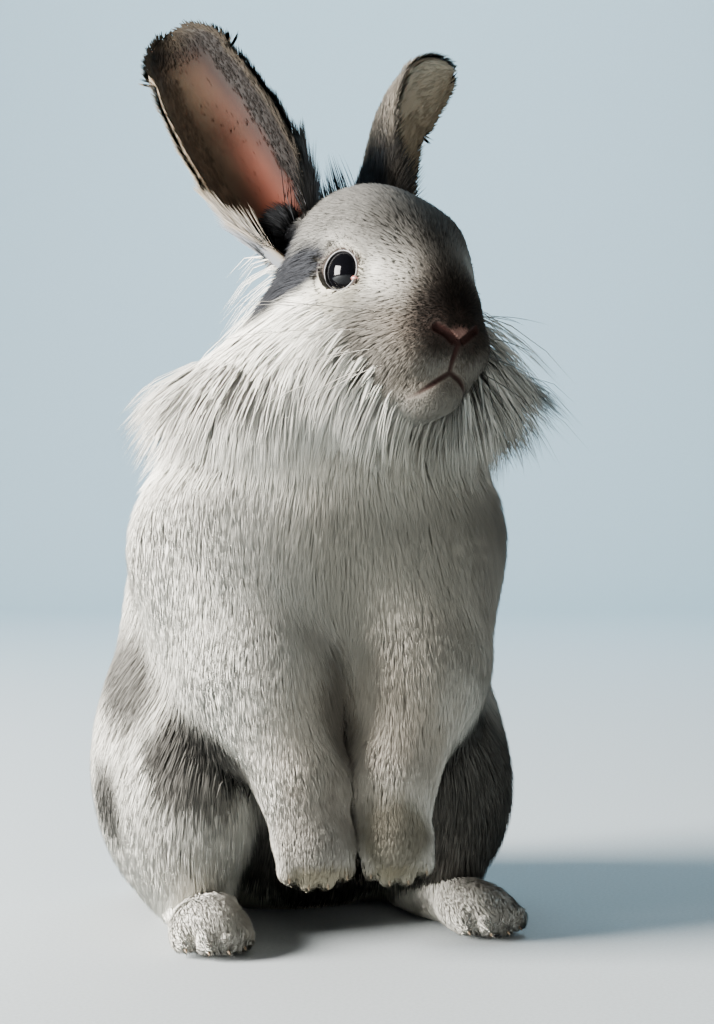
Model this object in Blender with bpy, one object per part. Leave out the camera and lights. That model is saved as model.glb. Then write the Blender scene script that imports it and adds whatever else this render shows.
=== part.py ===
"""A dwarf lionhead rabbit that sits up on its haunches, life size, as a still museum model.

The coat's outer surface is modelled as rounded masses that melt into each other, then parted into the
animal's named pieces. Lengths are in millimetres; the meshes are made in metres, +Z up, and the rabbit
faces -Y. The last step puts the origin on the floor, under the middle of the whole model.
"""

import math
import random
from collections import namedtuple

import bmesh
import bpy
import numpy as np
from mathutils import Euler, Matrix, Vector

MM = 0.001
JOINT_GAP = 0.3
LOCK_GAP = 0.35

# Driving dimensions of a small adult of about 1.5 kg.
BELLY_HALF_WIDTH = 59
CHEST_HALF_WIDTH = 51
THIGH_OUT = 40
FOOT_OUT = 37
FOOT_HALF_LENGTH = 44
SHOULDER_OUT = 34
PAW_OUT = 11.8
PAW_SHIFT = -2.5
EAR_LENGTH = 89
EAR_HALF_SHEET = 20
EAR_THICKNESS = 3.0
EYE_RADIUS = 8.6
LOCK_LENGTH = 40
LOCK_WIDTH = 14
LOCK_THICKNESS = 3.4
CREST_LENGTH = 17
CREST_WIDTH = 6.5
CREST_HALF_WIDTH = 7
CREST_COUNT = 3
CREST_ROWS = (25, 31)
CREST_SUNK = 4
CREST_BEND = 5

# The head is modelled level and facing -Y about its own origin, then placed over the shoulders.
HEAD_PLACE = (13.2, -38.4, 194)
HEAD_YAW = 15

VOXEL_HEAD = 0.9
VOXEL_BODY = 1.7
HEAD_FACES = 3000
BODY_FACES = 2200

Egg = namedtuple("Egg", "centre radii turn blend")
Limb = namedtuple("Limb", "start end start_radius end_radius blend")
Groove = namedtuple("Groove", "points radius blend")
Tier = namedtuple("Tier", "level count length")


def egg(centre, radii, turn=(0, 0, 0), blend=8):
    """A rounded mass: an ellipsoid, turned in degrees, that melts into the others over blend."""
    return Egg(np.array(centre, float), np.array(radii, float), turn, blend)


def limb(start, end, start_radius, end_radius, blend=8):
    """A round bar between two points whose radius changes evenly."""
    return Limb(np.array(start, float), np.array(end, float), start_radius, end_radius, blend)


def mirrored(mass):
    """The same mass on the other side of the body."""
    flip = np.array((-1, 1, 1))
    if isinstance(mass, Egg):
        turn = (mass.turn[0], -mass.turn[1], -mass.turn[2])
        return mass._replace(centre=mass.centre * flip, turn=turn)
    return mass._replace(start=mass.start * flip, end=mass.end * flip)


def pair(mass):
    return [mass, mirrored(mass)]


def at(side, point, shift=0.0):
    """A point of the left side, or the same point of the right side, and both moved sideways."""
    return (side * point[0] + shift, point[1], point[2])


# Masses of the body, in the world's axes
SHOULDER = (SHOULDER_OUT, -22, 116)
ELBOW = (24.5, -44, 80)
WRIST = (13.8, -60, 50)
PAW_END = (PAW_OUT, -65, 35)
HEEL = (FOOT_OUT - 1, 34, 10)
TOES = (FOOT_OUT + 4, -50, 7)

TORSO = [
    egg((1.5, 8, 60), (BELLY_HALF_WIDTH, 49, 62)),
    egg((0, 24, 36), (51, 42, 37), blend=20),
    egg((1.5, 14, 98), (55, 38, 50), blend=16),
    egg((4, -14, 118), (CHEST_HALF_WIDTH, 38, 48), blend=20),
]
NECK = [
    limb((5, -16, 140), (8, -26, 174), 38, 31, blend=16),
    egg((8, -24, 161), (53, 40, 22), turn=(-18, 0, 0), blend=16),
]
THIGHS = pair(egg((THIGH_OUT, 0, 45), (26.5, 44, 43), turn=(12, 0, 0), blend=12))
KNEES = pair(egg((THIGH_OUT + 1, -26, 38), (19, 21, 27), turn=(-10, 0, 0), blend=9))
HEELS = pair(egg(HEEL, (12, 16, 12), blend=5))
FEET = pair(egg((FOOT_OUT, -9, 7.5), (12.5, FOOT_HALF_LENGTH, 11.5), turn=(0, 0, 4), blend=5))
FOREFEET = pair(egg(TOES, (11.5, 15, 7.8), turn=(0, 0, 6), blend=5))
UPPER_ARMS = pair(limb(SHOULDER, ELBOW, 23, 20, blend=14))
FOREARMS = [limb(at(side, ELBOW), at(side, WRIST, PAW_SHIFT), 19, 13.4, blend=6) for side in (-1, 1)]
PAWS = [
    mass
    for side in (-1, 1)
    for mass in (
        limb(at(side, WRIST, PAW_SHIFT), at(side, PAW_END, PAW_SHIFT), 13.2, 11.6, blend=4),
        egg(at(side, (PAW_OUT - 0.2, -66, 31), PAW_SHIFT), (11.7, 11.5, 10.5), blend=3),
    )
]
TAIL = [
    egg((0, 66, 15), (14, 17, 13), turn=(24, 0, 0), blend=5),
    egg((0, 76, 21), (11, 13, 10), turn=(40, 0, 0), blend=6),
]
FORE_TOES = [
    limb(
        at(side, (PAW_OUT + out, -69, 32), PAW_SHIFT),
        at(side, (PAW_OUT + 1.15 * out, -70, reach), PAW_SHIFT),
        4.3,
        3.4,
        blend=2,
    )
    for out, reach in ((-7.2, 24.5), (-2.4, 22.2), (2.6, 22.2), (7.4, 24.5))
    for side in (-1, 1)
]
HIND_TOES = [
    toe
    for out, reach in ((-7.6, -60.5), (-2.6, -64), (2.6, -63.5), (7.6, -59))
    for toe in pair(limb((FOOT_OUT + 4 + out, -52, 6), (FOOT_OUT + 5 + 1.1 * out, reach, 5), 4.8, 4.2, blend=2))
]
BODY = (
    TORSO + NECK + THIGHS + KNEES + HEELS + FEET + FOREFEET + UPPER_ARMS + FOREARMS + PAWS + TAIL
    + FORE_TOES + HIND_TOES
)

# Masses of the head, in its own axes
HEAD = [
    egg((0, 6, 7), (23, 32, 25.5)),
    egg((0, -17, -2), (17.5, 24, 19), turn=(38, 0, 0), blend=14),
    egg((0, -29, -14), (15, 15, 14.5), blend=10),
    *pair(egg((17, -1, -16), (15, 21, 19), blend=12)),
    *pair(egg((11, -10, 12), (8.5, 13, 8), turn=(0, 20, 0), blend=9)),
    egg((0, -4, -25), (18.5, 32, 17), blend=12),
    *pair(egg((7.6, -32.5, -21.5), (9, 10, 8.5), blend=6)),
    egg((0, -39.5, -15.5), (6.5, 5.5, 6), blend=5),
    egg((0, -29, -33), (11, 11, 8), blend=6),
    *pair(egg((13, 33, 18), (9, 9, 12), blend=8)),
]
# The lids are a thin dome over the eyeball with a round opening in it
LID_THICKNESS = 1.3
LID_OPENING = 5.6
LID_FLARE = 6.2
EYE_DEPTH = 7.0
EYE_FORWARD = -10
EYE_HEIGHT = 0
EYE_TURN_BACK = 20
EYE_TURN_UP = 6
# Lines of the nostrils and the mouth as seen from the front: across and up, in the head's axes
NOSTRIL_LINE = ((1.8, -19.5), (4.6, -17.2), (7.0, -16.0))
NOSTRIL_RADIUS = 1.9
PHILTRUM_LINE = ((0, -20), (0, -23), (0, -25.5))
LIP_LINE = ((0, -25.5), (4.2, -27.6), (8.4, -30.4), (11.6, -32.6))
MOUTH_RADIUS = 1.8
# A groove's middle line stays outside the coat, or the surface would fold in it
GROOVE_LIFT = 0.25
GROOVE_SPACING = 1.5

# Each ear's root, the way it points and the way its cup opens, in the head's axes
EAR_BASE = (13, 34, 21)
EAR_SUNK = 20
EAR_POINTS = {"right": (-0.15, 0.58, 0.80), "left": (0.46, 0.42, 0.78)}
EAR_OPENS = {"right": (-0.54, -0.84, 0.1), "left": (0.67, -0.71, 0.0)}
EAR_TIP_CURL = {"right": 10, "left": -75}
# Share of the ear's length, half width of its sheet as a share of the widest, half curl of its cup in degrees
EAR_STATIONS = np.array(
    [
        (0.0, 0.80, 145),
        (0.14, 1.00, 104),
        (0.3, 1.08, 80),
        (0.5, 1.02, 68),
        (0.7, 0.90, 60),
        (0.85, 0.68, 48),
        (0.95, 0.42, 40),
        (1.0, 0.20, 38),
    ]
)

# The planes that part head, neck and torso: a point on each and the way down through it
HEAD_CUT = ((0, 42, 16), (0, 0.683, -0.730))
TORSO_CUT = ((5, -18, 146), (0, 0.3, -0.954))
# The mane's collar: its middle at the head's end and at the torso's end
COLLAR = ((9, -30, 182), (6, -20, 146))
MANE_TIERS = [
    Tier(0.10, 13, 0.85),
    Tier(0.34, 15, 0.95),
    Tier(0.58, 16, 0.95),
    Tier(0.80, 15, 0.80),
]


def turn_matrix(turn):
    """Rotation matrix of three turns in degrees, about X, then Y, then Z."""
    return np.array(Euler([math.radians(angle) for angle in turn]).to_matrix())


HEAD_AXES = turn_matrix((0, 0, HEAD_YAW))


def in_head(points):
    return (points - np.array(HEAD_PLACE)) @ HEAD_AXES


def out_of_head(points):
    return np.asarray(points) @ HEAD_AXES.T + np.array(HEAD_PLACE)


def gap_to_egg(points, mass):
    local = (points - mass.centre) @ turn_matrix(mass.turn)
    reach = np.linalg.norm(local / mass.radii, axis=1)
    slope = np.linalg.norm(local / mass.radii**2, axis=1)
    return reach * (reach - 1) / np.maximum(slope, 1e-9)


def gap_to_limb(points, mass):
    along = mass.end - mass.start
    share = np.clip((points - mass.start) @ along / (along @ along), 0, 1)
    nearest = mass.start + share[:, None] * along
    radius = mass.start_radius + share * (mass.end_radius - mass.start_radius)
    return np.linalg.norm(points - nearest, axis=1) - radius


def gap_to(points, mass):
    return gap_to_egg(points, mass) if isinstance(mass, Egg) else gap_to_limb(points, mass)


def melted(first, second, blend):
    """The smaller of two gaps, with the crease between them filled over the blend's width."""
    share = np.clip(0.5 + 0.5 * (second - first) / blend, 0, 1)
    return second + (first - second) * share - blend * share * (1 - share)


def melted_gap(points, masses):
    gap = gap_to(points, masses[0])
    for mass in masses[1:]:
        gap = melted(gap, gap_to(points, mass), mass.blend)
    return gap


def gap_to_groove(points, groove):
    ends = zip(groove.points, groove.points[1:])
    return np.min([gap_to_limb(points, limb(a, b, groove.radius, groove.radius)) for a, b in ends], axis=0)


def eye_axes(side):
    """Axes of an eye in the head: its outward line is the third column."""
    back, up = math.radians(EYE_TURN_BACK), math.radians(EYE_TURN_UP)
    out = Vector((side, -math.sin(back), math.sin(up))).normalized()
    rise = (Vector((0, 0, 1)) - out * out.z).normalized()
    return np.array([rise.cross(out), rise, out]).T


def reach_of(gap_function, starts, ways, longest=90, step=1.5):
    """How far each start is from the surface along its way outward."""
    previous = gap_function(starts)
    reach = np.zeros(len(starts))
    found = np.zeros(len(starts), bool)
    for distance in np.arange(step, longest, step):
        gap = gap_function(starts + distance * ways)
        crossed = ~found & (previous < 0) & (gap >= 0)
        reach[crossed] = distance - step * (gap / (gap - previous))[crossed]
        found |= crossed
        previous = gap
    return reach


def eye_place(side):
    """The middle of an eyeball, at its own depth under the side of the face."""
    out = eye_axes(side)[:, 2]
    start = np.array((side * 4.0, EYE_FORWARD, EYE_HEIGHT))
    surface = reach_of(lambda points: melted_gap(points, HEAD), start[None], out[None])[0]
    return start + (surface - EYE_DEPTH) * out


EYE_PLACES = {side: eye_place(side) for side in (-1, 1)}


def groove_on_face(line, side, radius, blend):
    """A groove whose line is seen from the front, laid on the face with its middle just outside."""
    corners = np.array(line, float)
    steps = np.linalg.norm(np.diff(corners, axis=0), axis=1)
    travel = np.concatenate([[0], np.cumsum(steps)])
    places = np.linspace(0, travel[-1], math.ceil(travel[-1] / GROOVE_SPACING) + 1)
    across, up = (np.interp(places, travel, corners[:, i]) for i in (0, 1))
    starts = np.stack([side * across, np.full_like(across, -20), up], axis=1)
    forward = np.zeros_like(starts) + (0, -1, 0)
    reach = reach_of(lambda points: melted_gap(points, HEAD), starts, forward)
    return Groove(starts + (reach + GROOVE_LIFT * radius)[:, None] * forward, radius, blend)


GROOVES = [groove_on_face(PHILTRUM_LINE, 1, MOUTH_RADIUS, 1.0)]
for side_of_face in (-1, 1):
    GROOVES.append(groove_on_face(NOSTRIL_LINE, side_of_face, NOSTRIL_RADIUS, 1.2))
    GROOVES.append(groove_on_face(LIP_LINE, side_of_face, MOUTH_RADIUS, 1.0))


def gap_to_lids(points, side):
    """The dome of skin over an eyeball."""
    return np.linalg.norm(points - EYE_PLACES[side], axis=1) - EYE_RADIUS - LID_THICKNESS


def gap_to_head(points):
    gap = melted_gap(points, HEAD)
    for side in (-1, 1):
        gap = melted(gap, gap_to_lids(points, side), 4)
    for groove in GROOVES:
        gap = -melted(-gap, gap_to_groove(points, groove), groove.blend)
    return gap


def gap_to_coat(points):
    """How far each point is outside the coat's surface, in millimetres, and below 0 inside it."""
    return melted(melted_gap(points, BODY), gap_to_head(in_head(points)), 14)


def slope_of(gap_function, points, gap):
    step = 0.05
    moved = [gap_function(points + step * axis) for axis in np.eye(3)]
    return (np.array(moved).T - gap[:, None]) / step


def unit(vectors):
    return vectors / np.maximum(np.linalg.norm(vectors, axis=-1, keepdims=True), 1e-9)


def settled(points, rounds=5, longest=3.0):
    """Each point moved along the slope of the gap until it lies on the coat's surface."""
    for _ in range(rounds):
        gap = gap_to_coat(points)
        slope = slope_of(gap_to_coat, points, gap)
        square = np.maximum((slope**2).sum(axis=1), 0.05)
        step = -(gap / square)[:, None] * slope
        length = np.linalg.norm(step, axis=1, keepdims=True)
        points = points + step * np.minimum(1, longest / np.maximum(length, 1e-9))
    return points


def object_of(name, bm_or_mesh):
    """An object in the scene from a mesh, or from a bmesh in millimetres."""
    mesh = bm_or_mesh
    if isinstance(bm_or_mesh, bmesh.types.BMesh):
        bmesh.ops.scale(bm_or_mesh, vec=(MM, MM, MM), verts=bm_or_mesh.verts)
        mesh = bpy.data.meshes.new(name)
        bm_or_mesh.to_mesh(mesh)
        bm_or_mesh.free()
    made = bpy.data.objects.new(name, mesh)
    bpy.context.scene.collection.objects.link(made)
    return made


def cutter_of(name, bm):
    """A closed shape that parts or bounds others and isn't itself a piece of the animal."""
    bmesh.ops.recalc_face_normals(bm, faces=bm.faces)
    made = object_of(name, bm)
    made.hide_render = True
    made.display_type = "WIRE"
    return made


def removed(*objects):
    for old in objects:
        bpy.data.objects.remove(old)


def applied(obj):
    """The object with its modifiers made real."""
    bpy.context.view_layer.update()
    graph = bpy.context.evaluated_depsgraph_get()
    mesh = bpy.data.meshes.new_from_object(obj.evaluated_get(graph))
    obj.modifiers.clear()
    obj.data = mesh
    return obj


def changed_by(obj, tool, operation):
    """The object cut or bounded by another closed shape. EXACT drops the whole of these dense meshes."""
    change = obj.modifiers.new(operation.title(), "BOOLEAN")
    change.operation = operation
    change.solver = "MANIFOLD"
    change.object = tool
    return applied(obj)


def copy_of(obj, name):
    return object_of(name, obj.data.copy())


def grown(obj, by):
    """A copy whose surface lies so many millimetres further out, to keep others clear of it."""
    made = copy_of(obj, obj.name + "_grown")
    swell = made.modifiers.new("Grown", "DISPLACE")
    swell.strength = by * MM
    swell.mid_level = 0
    return applied(made)


def cone_volume(faces):
    """Three times the volume inside a closed set of faces."""
    return abs(sum(face.normal.dot(face.calc_center_median()) * face.calc_area() for face in faces))


def largest_body(obj):
    """The object with only its largest closed surface, without sealed hollows and scraps."""
    bm = bmesh.new()
    bm.from_mesh(obj.data)
    left = set(bm.faces)
    bodies = []
    while left:
        body, edge_of_search = set(), [left.pop()]
        while edge_of_search:
            face = edge_of_search.pop()
            body.add(face)
            near = {other for edge in face.edges for other in edge.link_faces} & left
            left -= near
            edge_of_search.extend(near)
        bodies.append(body)
    largest = max(bodies, key=cone_volume)
    scraps = [face for body in bodies if body is not largest for face in body]
    bmesh.ops.delete(bm, geom=scraps, context="FACES")
    bm.to_mesh(obj.data)
    bm.free()
    return obj


def points_of(mesh):
    flat = np.empty(len(mesh.vertices) * 3)
    mesh.vertices.foreach_get("co", flat)
    return flat.reshape(-1, 3)


def add_ball(bm, matrix, subdivisions):
    bmesh.ops.create_icosphere(bm, subdivisions=subdivisions, radius=1, matrix=matrix)


def add_mass(bm, mass, frame):
    """A ball for an egg, or a row of balls for a limb."""
    if isinstance(mass, Egg):
        turn = Matrix(turn_matrix(mass.turn)).to_4x4()
        size = Matrix.Diagonal((*mass.radii, 1))
        add_ball(bm, frame @ Matrix.Translation(mass.centre) @ turn @ size, 3)
        return
    length = np.linalg.norm(mass.end - mass.start)
    count = max(2, math.ceil(length / (0.5 * min(mass.start_radius, mass.end_radius))))
    for i in range(count + 1):
        share = i / count
        radius = mass.start_radius + share * (mass.end_radius - mass.start_radius)
        centre = mass.start + share * (mass.end - mass.start)
        add_ball(bm, frame @ Matrix.Translation(centre) @ Matrix.Diagonal((radius, radius, radius, 1)), 2)


def flesh(name, body_masses, head_masses, voxel, faces, detail=None):
    """The masses joined by a voxel remesh, settled on the melted surface and thinned to so many faces."""
    bm = bmesh.new()
    head_frame = Matrix.Translation(HEAD_PLACE) @ Matrix(HEAD_AXES).to_4x4()
    for mass in body_masses:
        add_mass(bm, mass, Matrix())
    for mass in head_masses:
        add_mass(bm, mass, head_frame)
    made = object_of(name, bm)
    remesh = made.modifiers.new("Joined", "REMESH")
    remesh.mode = "VOXEL"
    remesh.voxel_size = voxel * MM
    applied(made)
    points = settled(points_of(made.data) / MM)
    made.data.vertices.foreach_set("co", (points * MM).ravel())
    made.data.update()
    thin = made.modifiers.new("Thinned", "DECIMATE")
    thin.ratio = faces / (2 * len(made.data.polygons))
    thin.use_collapse_triangulate = True
    if detail:
        group = made.vertex_groups.new(name="detail")
        for index, weight in enumerate(detail(points)):
            group.add([index], float(weight), "REPLACE")
        thin.vertex_group = "detail"
        thin.invert_vertex_group = True
    applied(made)
    made.vertex_groups.clear()
    return made


def nearness(points, places, reach):
    """1 at any of the places, falling to 0 at the reach."""
    far = np.min([np.linalg.norm(points - np.array(place), axis=1) for place in places], axis=0)
    return np.clip(1.2 - far / reach, 0, 1)


def mouth_detail(points):
    places = [(0, -43, -18), (0, -41, -27), (8, -38, -31), (-8, -38, -31)]
    return 0.12 * nearness(in_head(points), places, 10)


def half_space(name, point, down, depth=0.0):
    """A block that fills everything past a plane, in the direction down, from depth onward."""
    size = 600
    way = Vector(down).normalized()
    turn = way.to_track_quat("Z", "Y").to_matrix().to_4x4()
    place = Vector(point) + way * (depth + size / 2)
    bm = bmesh.new()
    bmesh.ops.create_cube(bm, size=size, matrix=Matrix.Translation(place) @ turn)
    return cutter_of(name, bm)


def egg_cutter(name, mass, more=0.0):
    bm = bmesh.new()
    turn = Matrix(turn_matrix(mass.turn)).to_4x4()
    size = Matrix.Diagonal((*(mass.radii + more), 1))
    place = Matrix.Translation(mass.centre) @ turn @ size
    bmesh.ops.create_uvsphere(bm, u_segments=28, v_segments=18, radius=1, matrix=place)
    return cutter_of(name, bm)


def sleeve(name, path, radii, more=0.0, sides=18):
    """A closed round tube along a path, of triangles that lie the same way at any radius."""
    points = [Vector(point) for point in path]
    points[0] += (points[0] - points[1]).normalized() * more
    points[-1] += (points[-1] - points[-2]).normalized() * more
    bm = bmesh.new()
    rings = []
    for i, point in enumerate(points):
        ahead = points[min(i + 1, len(points) - 1)] - points[max(i - 1, 0)]
        turn = ahead.normalized().to_track_quat("Z", "Y").to_matrix().to_4x4()
        matrix = Matrix.Translation(point) @ turn
        radius = radii[i] + more
        ring = bmesh.ops.create_circle(bm, segments=sides, radius=radius, matrix=matrix)["verts"]
        rings.append(ring)
    for low, high in zip(rings, rings[1:]):
        for k in range(sides):
            after = (k + 1) % sides
            bm.faces.new((low[k], low[after], high[after]))
            bm.faces.new((low[k], high[after], high[k]))
    bm.faces.new(rings[0])
    bm.faces.new(rings[-1])
    return cutter_of(name, bm)


def rounded_block(name, low, high, bevel, more=0.0):
    low = Vector(low) - Vector((more, more, more))
    high = Vector(high) + Vector((more, more, more))
    bm = bmesh.new()
    size = Matrix.Diagonal((*(high - low), 1))
    bmesh.ops.create_cube(bm, size=1, matrix=Matrix.Translation((low + high) / 2) @ size)
    bmesh.ops.bevel(
        bm, geom=bm.edges[:], offset=bevel, segments=4, profile=0.5, affect="EDGES", material=-1
    )
    return cutter_of(name, bm)


def parted(whole, name, make_region):
    """The piece of the whole inside a region, which the whole then loses with a thin gap round it."""
    piece = copy_of(whole, name)
    region = make_region(0.0)
    changed_by(piece, region, "INTERSECT")
    clearance = make_region(JOINT_GAP)
    changed_by(whole, clearance, "DIFFERENCE")
    removed(region, clearance)
    return largest_body(piece)


def cut_in_two(piece, upper_name, lower_name, point, down):
    """Two pieces of one, on either side of a plane."""
    piece.name = "upper"
    lower = copy_of(piece, lower_name)
    keep = half_space("keep", point, down, JOINT_GAP / 2)
    lose = half_space("lose", point, down, -JOINT_GAP / 2)
    changed_by(lower, keep, "INTERSECT")
    changed_by(piece, lose, "DIFFERENCE")
    removed(keep, lose)
    piece.name = upper_name
    return largest_body(piece), largest_body(lower)


def arm_region(side, more):
    """A sleeve round one foreleg, which ends inside the shoulder and stops short of the other foreleg."""
    root = (SHOULDER_OUT - 5, -10, 124)
    below = (PAW_OUT, -68, 9)
    path = [at(side, root), at(side, SHOULDER), at(side, ELBOW)]
    path += [at(side, point, PAW_SHIFT) for point in (WRIST, PAW_END, below)]
    region = sleeve("arm", path, [17, 25, 24, 19, 19, 14], more)
    middle = PAW_SHIFT + side * (JOINT_GAP / 2 - more)
    other_side = half_space("other_side", (middle, 0, 0), (-side, 0, 0))
    changed_by(region, other_side, "DIFFERENCE")
    removed(other_side)
    return region


def foot_region(side, more):
    low, high = (FOOT_OUT - 15, -90, -30), (FOOT_OUT + 22, 50, 19)
    if side < 0:
        low, high = (-high[0], low[1], low[2]), (-low[0], high[1], high[2])
    return rounded_block("foot", low, high, 8, more)


def thigh_region(side, more):
    region = egg((THIGH_OUT + 11, -3, 47), (34, 56, 52))
    return egg_cutter("thigh", region if side > 0 else mirrored(region), more)


def eased(share, stations, column):
    """The value of one column of the stations at a share of the length."""
    return float(np.interp(share, stations[:, 0], stations[:, column]))


def ear(side):
    """A cupped leaf with a tube at its root: a grid bent along the ear's line, then given its thickness."""
    sign = -1 if side == "right" else 1
    along = Vector(EAR_POINTS[side]).normalized()
    opens = Vector(EAR_OPENS[side])
    opens = (opens - along * opens.dot(along)).normalized()
    across = along.cross(opens)
    steps, columns = 15, 12
    spine = Vector(EAR_BASE)
    spine.x *= sign
    spine -= along * EAR_SUNK
    lines, turns = [], []
    for i in range(steps + 1):
        share = i / steps
        bend = math.radians(EAR_TIP_CURL[side]) * max(0.0, (share - 0.5) / 0.5) ** 2
        lines.append(spine.copy())
        turns.append(opens * math.cos(bend) + along * math.sin(bend))
        spine += (along * math.cos(bend) - opens * math.sin(bend)) * ((EAR_LENGTH + EAR_SUNK) / steps)
    bm = bmesh.new()
    bmesh.ops.create_grid(bm, x_segments=columns, y_segments=steps, size=0.5)
    for vert in bm.verts:
        row = round((vert.co.y + 0.5) * steps)
        share = row / steps
        half = EAR_HALF_SHEET * eased(share, EAR_STATIONS, 1)
        curl = math.radians(eased(share, EAR_STATIONS, 2))
        angle = 2 * vert.co.x * curl
        radius = half / curl
        place = lines[row] + across * radius * math.sin(angle) + turns[row] * radius * (1 - math.cos(angle))
        vert.co = Vector(out_of_head(place))
    made = object_of("ear_" + side, bm)
    wall = made.modifiers.new("Wall", "SOLIDIFY")
    wall.thickness = EAR_THICKNESS * MM
    wall.offset = 0
    return applied(made)


def eye_frame(sign):
    axes = Matrix(HEAD_AXES @ eye_axes(sign)).to_4x4()
    return Matrix.Translation(out_of_head(EYE_PLACES[sign])) @ axes


def eyeball(name, sign, more=0.0):
    bm = bmesh.new()
    radius = EYE_RADIUS + more
    bmesh.ops.create_uvsphere(bm, u_segments=18, v_segments=11, radius=radius, matrix=eye_frame(sign))
    return object_of(name, bm)


def lid_opening(sign):
    """The flared opening between the lids, a little wider than high."""
    bm = bmesh.new()
    length = 12
    place = eye_frame(sign) @ Matrix.Diagonal((1.06, 0.96, 1, 1)) @ Matrix.Translation((0, 0, 4 + length / 2))
    bmesh.ops.create_cone(
        bm, cap_ends=True, segments=24, radius1=LID_OPENING, radius2=LID_FLARE + 2, depth=length, matrix=place
    )
    return cutter_of("opening", bm)


def collar_ways(level, angles):
    """Middle of the collar at a level, its way down, and the way outward at each angle; 90 is the nape."""
    head_down = HEAD_AXES @ np.array(HEAD_CUT[1])
    down = unit((1 - level) * head_down + level * np.array(TORSO_CUT[1]))
    middle = (1 - level) * np.array(COLLAR[0]) + level * np.array(COLLAR[1])
    across = unit(np.cross((0, 0, 1), down) * -1)
    nape = unit(np.cross(down, across))
    if nape[1] < 0:
        nape = -nape
    if across[0] < 0:
        across = -across
    ways = np.cos(angles)[:, None] * across + np.sin(angles)[:, None] * nape
    return middle, down, ways


def lock_lines(tier, draw):
    """Roots of one tier's locks and the bent line that each follows."""
    count = tier.count
    turn = draw.uniform(0, 1)
    angles = np.array([2 * math.pi * (i + turn + draw.uniform(-0.3, 0.3)) / count for i in range(count)])
    middle, down, ways = collar_ways(tier.level, angles)
    starts = middle + np.zeros((count, 1))
    reach = reach_of(gap_to_coat, starts, ways)
    roots = starts + reach[:, None] * ways
    normals = unit(slope_of(gap_to_coat, roots, gap_to_coat(roots)))
    fall = 0.5 * down + 0.5 * np.array((0, 0, -1))
    lie = unit(fall - (normals @ fall)[:, None] * normals)
    sideness = np.abs(np.cos(angles))[:, None]
    lift = 0.30 + (0.10 + 0.3 * tier.level) * sideness
    lift = lift + (0.24 - 0.15 * tier.level) * np.maximum(np.cos(angles), 0)[:, None]
    lift = lift + np.array([[draw.uniform(-0.06, 0.06)] for _ in range(count)])
    ways = unit(lift * normals + (1 - lift) * lie)
    lengths = np.array([LOCK_LENGTH * tier.length * draw.uniform(0.88, 1.1) for _ in range(count)])
    lengths *= 0.72 + 0.1 * np.maximum(np.sin(angles), 0)
    lengths *= 1 + np.where(np.cos(angles) > 0, 0.30, -0.1) * sideness[:, 0]
    sunk = 4.5
    steps = 4
    lines = [roots - sunk * ways]
    for i in range(steps):
        bend = 0.10 + 0.05 * i
        ways = unit(ways + bend * np.array((0, 0, -1)))
        point = lines[-1] + ways * ((lengths + sunk) / steps)[:, None]
        gap = gap_to_coat(point)
        wanted = LOCK_THICKNESS * 0.5 + 0.6
        if i > 0:
            out = unit(slope_of(gap_to_coat, point, gap))
            point = point + out * np.maximum(wanted - gap, 0)[:, None]
            ways = unit(point - lines[-1])
        lines.append(point)
    return np.array(lines).transpose(1, 0, 2), normals, lengths


def lock(name, line, normal, width):
    """One flat, tapered lock along its line, with its flat side to the coat."""
    shares = np.linspace(0, 1, len(line))
    bm = bmesh.new()
    rings = []
    for i, share in enumerate(shares[:-1]):
        ahead = unit(line[i + 1] - line[max(i - 1, 0)])
        across = unit(np.cross(ahead, normal))
        out = np.cross(across, ahead)
        half = 0.5 * width * (0.55 + 1.1 * share) * (1 - share**2.2) ** 0.9
        thick = 0.5 * LOCK_THICKNESS * (1 - 0.72 * share)
        corners = (line[i] + half * across, line[i] + thick * out, line[i] - half * across, line[i] - thick * out)
        rings.append([bm.verts.new(corner) for corner in corners])
    tip = bm.verts.new(line[-1])
    for low, high in zip(rings, rings[1:]):
        for k in range(4):
            bm.faces.new((low[k], low[(k + 1) % 4], high[(k + 1) % 4], high[k]))
    for k in range(4):
        bm.faces.new((rings[-1][k], rings[-1][(k + 1) % 4], tip))
    bm.faces.new(rings[0])
    bmesh.ops.triangulate(bm, faces=bm.faces)
    bmesh.ops.recalc_face_normals(bm, faces=bm.faces)
    return object_of(name, bm)


def crest_locks():
    """Short locks that stand up between the ears, rooted in the crown."""
    draw = random.Random(3)
    up = np.array(((0.0, 0.0, 1.0),))
    normal = HEAD_AXES @ np.array((0, -0.9, 0.45))
    locks = []
    for back in CREST_ROWS:
        for i in range(CREST_COUNT):
            spread = 2 * (i + 0.5 + draw.uniform(-0.2, 0.2)) / CREST_COUNT - 1
            start = np.array(((CREST_HALF_WIDTH * spread, back, 10.0),))
            root = start + reach_of(gap_to_head, start, up)[0] * up
            way = unit(np.array((0.3 * spread, 0.35, 0.9)))
            length = CREST_LENGTH * draw.uniform(0.8, 1.1)
            shares = np.array((0, 0.4, 0.72, 1))
            line = root + np.outer(length * shares - CREST_SUNK, way)
            line[:, 1] += CREST_BEND * shares**2
            locks.append(lock("crest", out_of_head(line), normal, CREST_WIDTH * draw.uniform(0.85, 1.15)))
    return locks


def mane_locks():
    draw = random.Random(7)
    locks = []
    for tier in MANE_TIERS:
        lines, normals, lengths = lock_lines(tier, draw)
        for line, normal in zip(lines, normals):
            width = LOCK_WIDTH * draw.uniform(0.85, 1.15)
            locks.append(lock("lock", line, normal, width))
    return locks


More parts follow.
